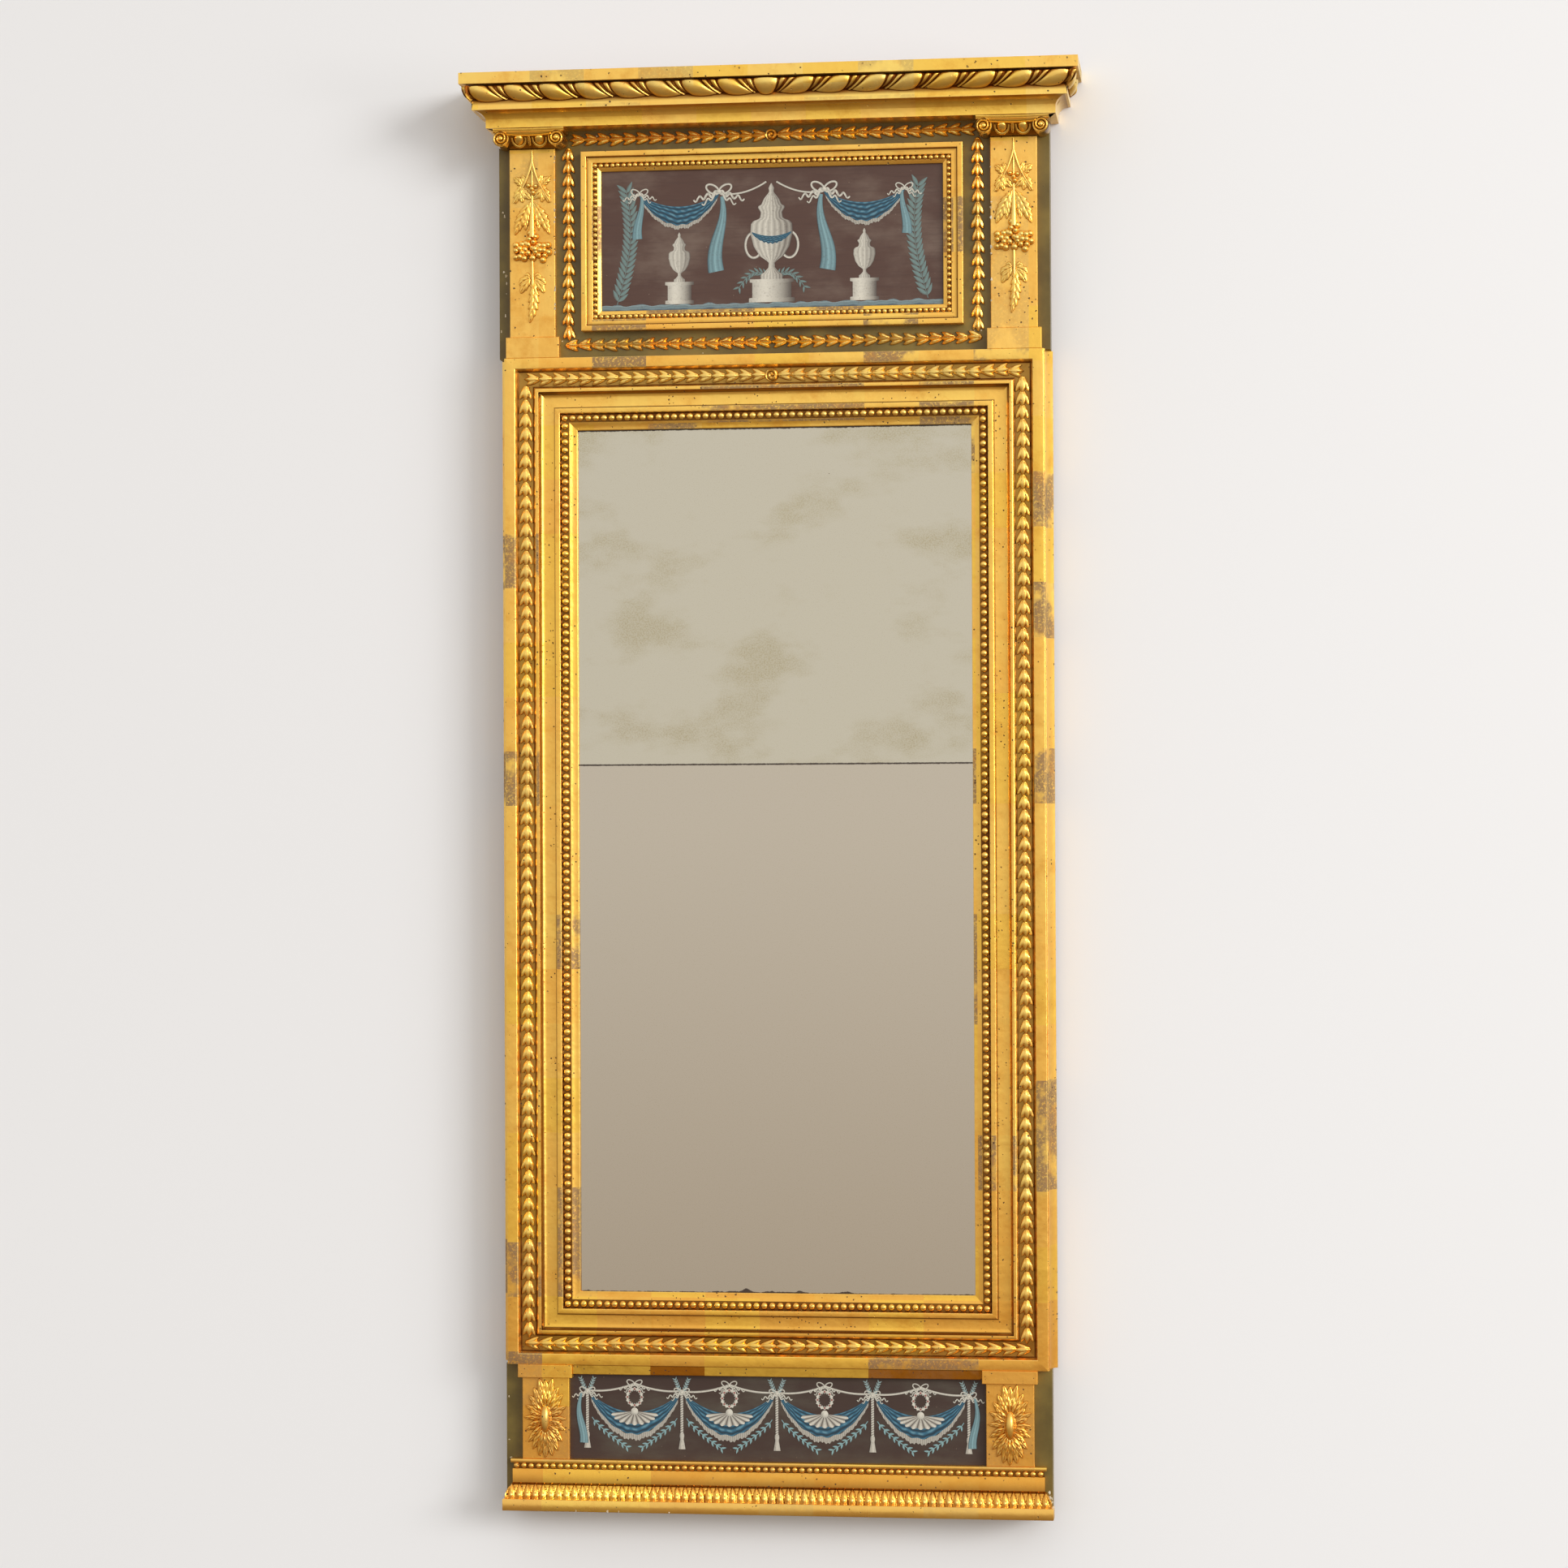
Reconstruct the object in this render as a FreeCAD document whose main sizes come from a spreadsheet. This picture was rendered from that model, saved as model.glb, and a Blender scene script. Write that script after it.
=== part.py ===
import FreeCAD, Part
import math
import os
import Sketcher

# Gilded trumeau mirror: a tall wall mirror in a moulded frame, with a green frieze panel,
# pilasters and a cornice above it, and a low panel on a moulded base below it.
#
# Millimetres. +X is right, +Z is up and the front faces -Y. The origin is the centre of the
# hanging eye on the wall plane. In the code a depth is measured from the wall towards the room
# and a height from the underside of the base; place() turns both into the part's own frame.

SIZES = {
    # The glazed frame and the panels above and below it.
    "frame_width": 634.0,
    "frame_height": 1181.3,
    "upper_panel_height": 267.8,
    "upper_board_overhang": 7.5,
    "lower_panel_height": 110.9,
    "lower_board_overhang": 3.5,
    "board_thickness": 26.0,
    # Battens that join the three parts behind, and the eye that the mirror hangs by.
    "batten_thickness": 10.0,
    "batten_width": 50.0,
    "batten_inset": 17.0,
    "batten_end_gap": 20.0,
    "cross_batten_width": 55.0,
    "plate_width": 26.0,
    "plate_thickness": 3.0,
    "plate_grip": 44.0,
    "plate_rise": 20.7,
    "eye_radius": 5.0,
    # Moulding of the glazed frame, from its outer edge to the glass.
    "member_width": 85.0,
    "member_thickness": 38.0,
    "outer_fillet_width": 12.5,
    "field_slope": 3.0,
    "field_width": 18.5,
    "field_depth": 6.0,
    "inner_slope": 2.5,
    "inner_fillet_width": 3.5,
    "inner_fillet_depth": 2.8,
    "cavetto_step": 0.8,
    "cavetto_radius": 7.2,
    "scotia_flat": 11.3,
    "bead_fillet_slope": 0.7,
    "bead_fillet_width": 5.8,
    "bead_fillet_depth": 5.0,
    "bead_channel_slope": 1.0,
    "bead_channel_width": 9.5,
    "bead_channel_depth": 9.5,
    "sight_depth": 12.0,
    "sight_round": 20.0,
    "lip_thickness": 4.0,
    "rebate_width": 9.0,
    "husk_width": 12.6,
    "husk_height": 5.0,
    "bead_diameter": 7.6,
    # Coved strip down each outer side of the glazed frame.
    "cove_width": 9.0,
    "cove_back_fillet": 4.0,
    "cove_front_fillet": 1.2,
    "cove_setback": 5.5,
    "cove_round": 27.0,
    # Mirror plates and the boards behind them.
    "glass_thickness": 3.0,
    "glass_clearance": 1.0,
    "glass_joint_gap": 0.3,
    "lower_plate_sight": 617.4,
    "backing_thickness": 12.0,
    # Cornice.
    "cornice_projection": 34.0,
    "cornice_side_projection": 9.0,
    "fascia_height": 10.0,
    "cornice_cavetto_height": 9.0,
    "cornice_cavetto_reach": 12.5,
    "cornice_cavetto_round": 13.0,
    "cornice_fillet_reach": 1.5,
    "cornice_fillet_height": 8.0,
    "ovolo_height": 20.7,
    "ovolo_reach": 10.0,
    "ovolo_round": 17.0,
    "cap_overhang": 3.0,
    "cap_thickness": 13.0,
    # Upper pilasters: plinth, shaft and capital.
    "upper_pilaster_inset": 41.2,
    "upper_shaft_width": 54.0,
    "upper_shaft_relief": 9.0,
    "plinth_width": 63.0,
    "plinth_height": 24.5,
    "plinth_relief": 12.0,
    "capital_width": 84.0,
    "capital_height": 21.3,
    "abacus_proud": 4.0,
    "abacus_height": 4.8,
    "abacus_hollow": 3.0,
    "abacus_lip_height": 3.2,
    "abacus_lip_clearance": 0.3,
    "volute_radius": 9.0,
    "volute_setback": 3.0,
    "volute_eye_radius": 2.6,
    "volute_channel_inner": 4.0,
    "volute_channel_outer": 7.2,
    "volute_channel_depth": 1.6,
    "echinus_setback": 7.0,
    "echinus_spread": 15.0,
    "echinus_round": 18.0,
    # Carved vine drop on each upper pilaster.
    "drop_relief": 4.0,
    "drop_cluster_relief": 8.5,
    "drop_top_gap": 2.0,
    "drop_foot_gap": 14.0,
    "drop_stem_width": 3.0,
    # Frame of the upper picture and the husk garland round it.
    "picture_frame_side": 100.0,
    "picture_frame_below": 30.5,
    "picture_frame_above": 26.5,
    "picture_member_width": 23.4,
    "picture_member_relief": 14.0,
    "picture_fillet_width": 6.0,
    "picture_field_depth": 2.6,
    "picture_bead_depth": 4.4,
    "picture_bead_diameter": 5.0,
    "picture_bead_offset": 16.6,
    "picture_sight_depth": 6.5,
    "picture_lip_thickness": 2.6,
    "picture_rebate_width": 5.0,
    "picture_clearance": 0.8,
    "garland_offset": 16.5,
    "garland_lower_offset": 15.2,
    "garland_upper_offset": 16.0,
    "garland_width": 12.0,
    "garland_height": 5.5,
    "garland_corner_gap": 5.0,
    # Lower panel: pilasters, rail and picture.
    "lower_pilaster_inset": 48.2,
    "lower_shaft_width": 55.4,
    "lower_shaft_relief": 9.0,
    "impost_width": 64.0,
    "impost_height": 15.0,
    "impost_relief": 15.0,
    "rail_height": 11.0,
    "rail_relief": 10.0,
    "lower_picture_thickness": 1.6,
    "rosette_side_margin": 2.2,
    "rosette_end_margin": 0.45,
    "rosette_relief": 4.0,
    "rosette_boss_width": 12.0,
    "rosette_boss_height": 36.0,
    "rosette_boss_relief": 9.0,
    # Moulded base.
    "base_overhang": 2.0,
    "base_relief": 19.5,
    "base_fillet_height": 13.5,
    "leaf_band_height": 18.0,
    "leaf_band_foot": 17.5,
    "leaf_band_head": 10.0,
    "leaf_band_round": 24.0,
    "frieze_height": 16.5,
    "frieze_relief": 9.0,
    "base_bead_height": 7.0,
    "base_bead_relief": 8.0,
    "base_bead_diameter": 6.4,
    "base_top_fillet": 4.3,
    "base_top_relief": 11.0,
    # Edges that the gilder's gesso has softened.
    "edge_easing": 0.6,
}

ROSETTE_PETALS = 22
BEAD_STANDING = 0.46
OVERCUT = 20.0

doc = FreeCAD.newDocument("TrumeauMirror")
sheet = doc.addObject("Spreadsheet::Sheet", "Dims")
for row, (alias, value) in enumerate(SIZES.items(), start=1):
    sheet.set(f"A{row}", alias)
    sheet.set(f"B{row}", str(value))
    sheet.setAlias(f"B{row}", alias)
doc.recompute()

sub_parts = []


class Size:
    """A length held as the expression that drives the model and as its value now."""

    def __init__(self, text, value):
        self.text = text
        self.value = value

    @staticmethod
    def of(other):
        return other if isinstance(other, Size) else Size(f"{float(other):.6f}", float(other))

    def __add__(self, other):
        other = Size.of(other)
        return Size(f"({self.text} + {other.text})", self.value + other.value)

    def __sub__(self, other):
        other = Size.of(other)
        return Size(f"({self.text} - {other.text})", self.value - other.value)

    def __mul__(self, other):
        other = Size.of(other)
        return Size(f"({self.text} * ({other.text}))", self.value * other.value)

    def __truediv__(self, other):
        other = Size.of(other)
        return Size(f"({self.text} / ({other.text}))", self.value / other.value)

    def __neg__(self):
        return self * -1


class Disc:
    """A round outline."""

    def __init__(self, across, up, radius):
        self.across = across
        self.up = up
        self.radius = radius


def dim(alias):
    """A driving size, by the name of its cell."""
    return Size(f"Dims.{alias}", SIZES[alias])


def half(size):
    return size * 0.5


def bow_radius(chord, rise):
    """Radius of the arc that stands this high over this chord."""
    reach = half(chord)
    return (reach * reach + rise * rise) / (rise * 2)


# Depths from the wall.
wall = Size.of(0)
board_back = dim("batten_thickness")
board_front = board_back + dim("board_thickness")
frame_front = dim("batten_thickness") + dim("member_thickness")
glass_front = frame_front - dim("sight_depth") - dim("lip_thickness")
glass_back = glass_front - dim("glass_thickness")

# Heights from the underside of the base.
frieze_foot = dim("base_fillet_height") + dim("leaf_band_height")
frieze_head = frieze_foot + dim("frieze_height")
bead_head = frieze_head + dim("base_bead_height")
base_top = bead_head + dim("base_top_fillet")
frame_bottom = base_top + dim("lower_panel_height")
frame_top = frame_bottom + dim("frame_height")
cornice_bottom = frame_top + dim("upper_panel_height")
cornice_fillet_foot = dim("fascia_height") + dim("cornice_cavetto_height")
cornice_ovolo_foot = cornice_fillet_foot + dim("cornice_fillet_height")
cornice_height = cornice_ovolo_foot + dim("ovolo_height")
cap_bottom = cornice_bottom + cornice_height
cross_batten_top = cornice_bottom - dim("batten_end_gap")
eye_height = cross_batten_top + dim("plate_rise")

# Half widths.
frame_half = half(dim("frame_width"))
sight_half = frame_half - dim("member_width")
upper_half = frame_half + dim("upper_board_overhang")
lower_half = frame_half + dim("lower_board_overhang")
cornice_half = upper_half + dim("cornice_side_projection")


def place(piece, across, depth, height):
    """Moves a piece so that its own origin lies at this place, depth from the wall."""
    base = FreeCAD.Vector(across.value, -depth.value, height.value - eye_height.value)
    piece.Placement = FreeCAD.Placement(base, piece.Placement.Rotation)
    piece.setExpression("Placement.Base.x", across.text)
    piece.setExpression("Placement.Base.y", (-depth).text)
    piece.setExpression("Placement.Base.z", (height - eye_height).text)


def keep(piece):
    """Lists a piece as one that is written out."""
    sub_parts.append(piece)
    return piece


def new_body(label, turn=0.0):
    """An empty body; turn is its angle about Y in degrees."""
    body = doc.addObject("PartDesign::Body", label)
    body.Label = label
    body.Placement = FreeCAD.Placement(FreeCAD.Vector(), FreeCAD.Rotation(FreeCAD.Vector(0, 1, 0), turn))
    return keep(body)


def slab(label, left, depth, bottom, width, thickness, height):
    """A plain squared board; depth is that of its back face."""
    board = doc.addObject("Part::Box", label)
    board.Label = label
    for name, size in (("Length", width), ("Width", thickness), ("Height", height)):
        setattr(board, name, size.value)
        board.setExpression(name, size.text)
    place(board, left, depth + thickness, bottom)
    return keep(board)


def arc_between(start, end, radius, side):
    """The short arc of this radius that bows to the left (side 1) or right (-1) of the way."""
    chord = end - start
    reach = math.sqrt(max(radius ** 2 - (chord.Length / 2) ** 2, 0.0))
    left = FreeCAD.Vector(-chord.y, chord.x, 0)
    left.normalize()
    centre = (start + end) * 0.5 - left * (side * reach)
    circle = Part.Circle(centre, FreeCAD.Vector(0, 0, 1), radius)
    first, last = (end, start) if side > 0 else (start, end)
    angles = [math.atan2(p.y - centre.y, p.x - centre.x) for p in (first, last)]
    return Part.ArcOfCircle(circle, angles[0], angles[1])


def add_loop(sketch, corners):
    """Draws one closed outline. Each corner is (u, v), or (u, v, radius, side) where an arc leaves it."""
    points = [FreeCAD.Vector(corner[0].value, corner[1].value, 0) for corner in corners]
    first = sketch.GeometryCount
    ends = []
    for index, corner in enumerate(corners):
        start, end = points[index], points[(index + 1) % len(points)]
        if len(corner) == 4:
            sketch.addGeometry(arc_between(start, end, corner[2].value, corner[3]), False)
            ends.append((2, 1) if corner[3] > 0 else (1, 2))
        else:
            sketch.addGeometry(Part.LineSegment(start, end), False)
            ends.append((1, 2))
    joins, rules, texts = [], [], []
    for index, corner in enumerate(corners):
        side, before = first + index, first + (index - 1) % len(corners)
        start_point, last_point = ends[index][0], ends[index - 1][1]
        joins.append(Sketcher.Constraint("Coincident", before, last_point, side, start_point))
        for kind, size in (("DistanceX", corner[0]), ("DistanceY", corner[1])):
            rules.append(Sketcher.Constraint(kind, -1, 1, side, start_point, size.value))
            texts.append(size.text)
        if len(corner) == 4:
            rules.append(Sketcher.Constraint("Radius", side, corner[2].value))
            texts.append(corner[2].text)
    add_rules(sketch, rules, texts, joins)


def add_rules(sketch, rules, texts, joins=()):
    """Adds constraints to a sketch and binds the measured ones to their expressions."""
    start = sketch.ConstraintCount + len(joins)
    sketch.addConstraint([*joins, *rules])
    for number, text in enumerate(texts, start=start):
        sketch.setExpression(f"Constraints[{number}]", text)


def add_disc(sketch, disc):
    """Draws one circle."""
    centre = FreeCAD.Vector(disc.across.value, disc.up.value, 0)
    circle = sketch.GeometryCount
    sketch.addGeometry(Part.Circle(centre, FreeCAD.Vector(0, 0, 1), disc.radius.value), False)
    rules = [
        Sketcher.Constraint("DistanceX", -1, 1, circle, 3, disc.across.value),
        Sketcher.Constraint("DistanceY", -1, 1, circle, 3, disc.up.value),
        Sketcher.Constraint("Radius", circle, disc.radius.value),
    ]
    add_rules(sketch, rules, [disc.across.text, disc.up.text, disc.radius.text])


def draw(sketch, outlines):
    """Draws discs and closed loops of corners."""
    for outline in outlines:
        if isinstance(outline, Disc):
            add_disc(sketch, outline)
        else:
            add_loop(sketch, outline)


def new_sketch(body, plane, offset=None):
    """An empty sketch on one of the body's planes, offset along the plane's normal."""
    support = [item for item in body.Origin.OriginFeatures if item.Role == plane][0]
    sketch = body.newObject("Sketcher::SketchObject", f"{body.Label}_outline")
    sketch.AttachmentSupport = [(support, "")]
    sketch.MapMode = "FlatFace"
    if offset is not None:
        sketch.AttachmentOffset = FreeCAD.Placement(FreeCAD.Vector(0, 0, offset.value), FreeCAD.Rotation())
        sketch.setExpression("AttachmentOffset.Base.z", offset.text)
    return sketch


def pad(body, plane, loops, length, symmetric=False, offset=None):
    """Extrudes outlines along the plane's normal."""
    sketch = new_sketch(body, plane, offset)
    draw(sketch, loops)
    feature = body.newObject("PartDesign::Pad", f"{body.Label}_pad")
    feature.Profile = (sketch, [""])
    feature.SideType = "Symmetric" if symmetric else "One side"
    feature.Length = length.value
    feature.setExpression("Length", length.text)
    sketch.Visibility = False
    return feature


def cut_through(body, plane, loops):
    """Removes outlines from the body, right through on both sides of the plane."""
    sketch = new_sketch(body, plane)
    draw(sketch, loops)
    feature = body.newObject("PartDesign::Pocket", f"{body.Label}_cut")
    feature.Profile = (sketch, [""])
    feature.Type = "ThroughAll"
    feature.SideType = "Symmetric"
    return feature


def rectangle(left, bottom, right, top):
    return [(left, bottom), (right, bottom), (right, top), (left, top)]


def mitred_member(label, profile, length, width, turn):
    """A moulded length with both ends cut at 45 degrees; its outer edge is at its own Z of 0."""
    body = new_body(label, turn)
    pad(body, "YZ_Plane", [profile], length, symmetric=True)
    end, over = half(length), dim("member_width")
    right_end = [(end, wall), (end + over, wall), (end + over, -(width + over)), (end - width - over, -(width + over))]
    left_end = [(-u, v) for u, v in reversed(right_end)]
    cut_through(body, "XZ_Plane", [right_end, left_end])
    return body


def frame_of_four(prefix, profile, half_width, bottom, top, width):
    """Four mitred members round an opening: top and bottom rails, left and right stiles."""
    middle = half(bottom + top)
    length, height = half_width * 2, top - bottom
    zero = Size.of(0)
    place(mitred_member(f"{prefix}_rail_top", profile, length, width, 0), zero, wall, top)
    place(mitred_member(f"{prefix}_rail_bottom", profile, length, width, 180), zero, wall, bottom)
    place(mitred_member(f"{prefix}_stile_right", profile, height, width, 90), half_width, wall, middle)
    place(mitred_member(f"{prefix}_stile_left", profile, height, width, -90), -half_width, wall, middle)


def main_profile():
    """Section of the glazed frame: depth to the left, distance from the outer edge downwards."""

    def at(below_front, from_edge, *bow):
        return (-(frame_front - below_front), -from_edge, *bow)

    flat = Size.of(0)
    field_outer = dim("outer_fillet_width") + dim("field_slope")
    field_inner = field_outer + dim("field_width")
    inner_fillet = field_inner + dim("inner_slope")
    cavetto_edge = inner_fillet + dim("inner_fillet_width")
    cavetto_head = dim("inner_fillet_depth") + dim("cavetto_step")
    cavetto_foot = cavetto_head + dim("cavetto_radius")
    scotia_start = cavetto_edge + dim("cavetto_radius")
    scotia_end = scotia_start + dim("scotia_flat")
    bead_fillet = scotia_end + dim("bead_fillet_slope")
    bead_fillet_end = bead_fillet + dim("bead_fillet_width")
    channel = bead_fillet_end + dim("bead_channel_slope")
    channel_end = channel + dim("bead_channel_width")
    width, rebate = dim("member_width"), dim("member_width") - dim("rebate_width")
    lip_back = dim("sight_depth") + dim("lip_thickness")
    return [
        at(dim("member_thickness"), flat),
        at(flat, flat),
        at(flat, dim("outer_fillet_width")),
        at(dim("field_depth"), field_outer),
        at(dim("field_depth"), field_inner),
        at(dim("inner_fillet_depth"), inner_fillet),
        at(dim("inner_fillet_depth"), cavetto_edge),
        at(cavetto_head, cavetto_edge, dim("cavetto_radius"), 1),
        at(cavetto_foot, scotia_start),
        at(cavetto_foot, scotia_end),
        at(dim("bead_fillet_depth"), bead_fillet),
        at(dim("bead_fillet_depth"), bead_fillet_end),
        at(dim("bead_channel_depth"), channel),
        at(dim("bead_channel_depth"), channel_end, dim("sight_round"), -1),
        at(dim("sight_depth"), width),
        at(lip_back, width),
        at(lip_back, rebate),
        at(dim("member_thickness"), rebate),
    ]


def half_round(width, height):
    """Low arch: flat back on the Z axis of the sketch, crown towards the front."""
    return [(wall, half(width)), (wall, -half(width), bow_radius(width, height), 1)]


def strip(label, profile, length, turn, across, depth, height):
    """A straight applied strip, centred on its own length."""
    body = new_body(label, turn)
    pad(body, "YZ_Plane", [profile], length, symmetric=True)
    place(body, across, depth, height)
    return body


def strips_round(prefix, profile, half_width, bottom, top, depth, width):
    """Strips along the centre line of a rectangle; the rails run over the ends of the stiles."""
    zero, middle = Size.of(0), half(bottom + top)
    long_run, short_run = half_width * 2 + width, top - bottom - width
    strip(f"{prefix}_top", profile, long_run, 0, zero, depth, top)
    strip(f"{prefix}_bottom", profile, long_run, 0, zero, depth, bottom)
    strip(f"{prefix}_left", profile, short_run, 90, -half_width, depth, middle)
    strip(f"{prefix}_right", profile, short_run, 90, half_width, depth, middle)


def build_glazed_frame():
    """The main frame, its husk and bead strips, its coved sides and the two mirror plates."""
    frame_of_four("frame", main_profile(), frame_half, frame_bottom, frame_top, dim("member_width"))

    field_middle = dim("outer_fillet_width") + dim("field_slope") + half(dim("field_width"))
    husk_profile = half_round(dim("husk_width"), dim("husk_height"))
    strips_round(
        "husk_strip",
        husk_profile,
        frame_half - field_middle,
        frame_bottom + field_middle,
        frame_top - field_middle,
        frame_front - dim("field_depth"),
        dim("husk_width"),
    )
    to_channel = (
        field_middle
        + half(dim("field_width"))
        + dim("inner_slope")
        + dim("inner_fillet_width")
        + dim("cavetto_radius")
        + dim("scotia_flat")
        + dim("bead_fillet_slope")
        + dim("bead_fillet_width")
        + dim("bead_channel_slope")
        + half(dim("bead_channel_width"))
    )
    bead_profile = half_round(dim("bead_diameter"), dim("bead_diameter") * BEAD_STANDING)
    strips_round(
        "bead_strip",
        bead_profile,
        frame_half - to_channel,
        frame_bottom + to_channel,
        frame_top - to_channel,
        frame_front - dim("bead_channel_depth"),
        dim("bead_diameter"),
    )

    for label, side in (("side_cove_left", -1), ("side_cove_right", 1)):
        body = new_body(label)
        front = frame_front - dim("cove_setback")
        outline = [
            (wall, -board_back),
            (dim("cove_width") * side, -board_back),
            (dim("cove_width") * side, -(board_back + dim("cove_back_fillet")), dim("cove_round"), side),
            (dim("cove_front_fillet") * side, -front),
            (wall, -front),
        ]
        pad(body, "XY_Plane", [outline], dim("frame_height"))
        place(body, frame_half * side, wall, frame_bottom)

    plate_half = sight_half + dim("rebate_width") - dim("glass_clearance")
    overlap = dim("rebate_width") - dim("glass_clearance")
    plates_bottom = frame_bottom + dim("member_width") - overlap
    plates_top = frame_top - dim("member_width") + overlap
    joint = frame_bottom + dim("member_width") + dim("lower_plate_sight")
    lower_height = joint - half(dim("glass_joint_gap")) - plates_bottom
    upper_foot = joint + half(dim("glass_joint_gap"))
    backing_back = glass_back - dim("backing_thickness")
    for label, foot, height in (
        ("lower", plates_bottom, lower_height),
        ("upper", upper_foot, plates_top - upper_foot),
    ):
        width = plate_half * 2
        slab(f"mirror_plate_{label}", -plate_half, glass_back, foot, width, dim("glass_thickness"), height)
        slab(f"backing_board_{label}", -plate_half, backing_back, foot, width, dim("backing_thickness"), height)


def build_carcase():
    """The two panels, the battens behind them and the hanging plate."""
    thick = dim("board_thickness")
    upper_height = cap_bottom - frame_top
    slab("upper_board", -upper_half, board_back, frame_top, upper_half * 2, thick, upper_height)
    slab("lower_board", -lower_half, board_back, wall, lower_half * 2, thick, frame_bottom)

    batten_outer = frame_half - dim("batten_inset")
    batten_inner = batten_outer - dim("batten_width")
    foot = dim("batten_end_gap")
    long_batten = cross_batten_top - foot
    batten = dim("batten_thickness")
    slab("back_batten_left", -batten_outer, wall, foot, dim("batten_width"), batten, long_batten)
    slab("back_batten_right", batten_inner, wall, foot, dim("batten_width"), batten, long_batten)

    across = batten_inner * 2
    slab("cross_batten_bottom", -batten_inner, wall, foot, across, batten, dim("cross_batten_width"))
    upper = new_body("cross_batten_top")
    low, high = -dim("cross_batten_width"), Size.of(0)
    pad(upper, "XZ_Plane", [rectangle(-batten_inner, low, batten_inner, high)], batten)
    housing = new_sketch(upper, "XZ_Plane")
    plate_half = half(dim("plate_width"))
    add_loop(housing, rectangle(-plate_half, -dim("plate_grip"), plate_half, Size.of(OVERCUT)))
    recess = upper.newObject("PartDesign::Pocket", "plate_housing")
    recess.Profile = (housing, [""])
    recess.SideType = "One side"
    recess.Reversed = True
    recess.Length = dim("plate_thickness").value
    recess.setExpression("Length", dim("plate_thickness").text)
    place(upper, Size.of(0), wall, cross_batten_top)

    plate = new_body("hanging_plate")
    foot_of_plate = -(dim("plate_grip") + dim("plate_rise"))
    shank = rectangle(-plate_half, foot_of_plate, plate_half, wall)
    pad(plate, "XZ_Plane", [shank], dim("plate_thickness"))
    pad(plate, "XZ_Plane", [Disc(wall, wall, plate_half)], dim("plate_thickness"))
    cut_through(plate, "XZ_Plane", [Disc(wall, wall, dim("eye_radius"))])
    place(plate, Size.of(0), wall, eye_height)


def cornice_section(back, foot_reach):
    """Cornice section as (reach, height) corners; foot_reach is how far out its fascia stands."""
    cavetto_out = foot_reach + dim("cornice_cavetto_reach")
    fillet_out = cavetto_out + dim("cornice_fillet_reach")
    return [
        (back, wall),
        (foot_reach, wall),
        (foot_reach, dim("fascia_height"), dim("cornice_cavetto_round"), 1),
        (cavetto_out, cornice_fillet_foot),
        (fillet_out, cornice_fillet_foot),
        (fillet_out, cornice_ovolo_foot, dim("ovolo_round"), -1),
        (fillet_out + dim("ovolo_reach"), cornice_height),
        (back, cornice_height),
    ]


def mirrored(corners):
    """The same outline with its first coordinate turned about, and its arcs with it."""
    return [(-c[0], c[1], *((c[2], -c[3]) if len(c) == 4 else ())) for c in corners]


def build_cornice():
    """Front run and two short returns, mitred at the corners, under a flat cap board."""
    front_reach = board_front + dim("cornice_projection")
    top_reach = front_reach + dim("cornice_cavetto_reach") + dim("cornice_fillet_reach") + dim("ovolo_reach")
    top_half = cornice_half + dim("cornice_cavetto_reach") + dim("cornice_fillet_reach") + dim("ovolo_reach")
    inner_depth = front_reach - dim("cornice_side_projection")
    over = Size.of(OVERCUT)

    front = new_body("cornice_front")
    section = mirrored(cornice_section(board_front, front_reach))
    pad(front, "YZ_Plane", [section], top_half * 2, symmetric=True)
    right_end = [
        (upper_half, -(board_front - over)),
        (upper_half, -inner_depth),
        (top_half + over, -(top_reach + over)),
        (top_half + over + over, -(board_front - over)),
    ]
    left_end = [(-u, v) for u, v in right_end]
    cut_through(front, "XY_Plane", [right_end, left_end])
    place(front, Size.of(0), wall, cornice_bottom)

    for label, side in (("cornice_return_left", -1), ("cornice_return_right", 1)):
        body = new_body(label)
        section = cornice_section(upper_half, cornice_half)
        pad(body, "XZ_Plane", [section if side > 0 else mirrored(section)], top_reach)
        mitre = [
            ((upper_half - over) * side, -(inner_depth - over)),
            ((top_half + over) * side, -(top_reach + over)),
            ((upper_half - over) * side, -(top_reach + over)),
        ]
        cut_through(body, "XY_Plane", [mitre])
        place(body, Size.of(0), wall, cornice_bottom)

    cap_half = top_half + dim("cap_overhang")
    cap_depth = top_reach + dim("cap_overhang")
    slab("cornice_cap_board", -cap_half, wall, cap_bottom, cap_half * 2, cap_depth, dim("cap_thickness"))


def eased_block(label, width, relief, height, across, bottom):
    """A squared block on the face of a panel, its front edges eased."""
    body = new_body(label)
    outline = rectangle(-half(width), wall, half(width), height)
    block = pad(body, "XZ_Plane", [outline], relief)
    doc.recompute()
    fronts = [
        f"Face{number}"
        for number, face in enumerate(block.Shape.Faces, start=1)
        if face.normalAt(0, 0).y < -0.99
    ]
    chamfer = body.newObject("PartDesign::Chamfer", f"{label}_easing")
    chamfer.Base = (block, fronts)
    chamfer.Size = dim("edge_easing").value
    chamfer.setExpression("Size", dim("edge_easing").text)
    body.Tip = chamfer
    place(body, across, board_front, bottom)
    return body


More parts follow.
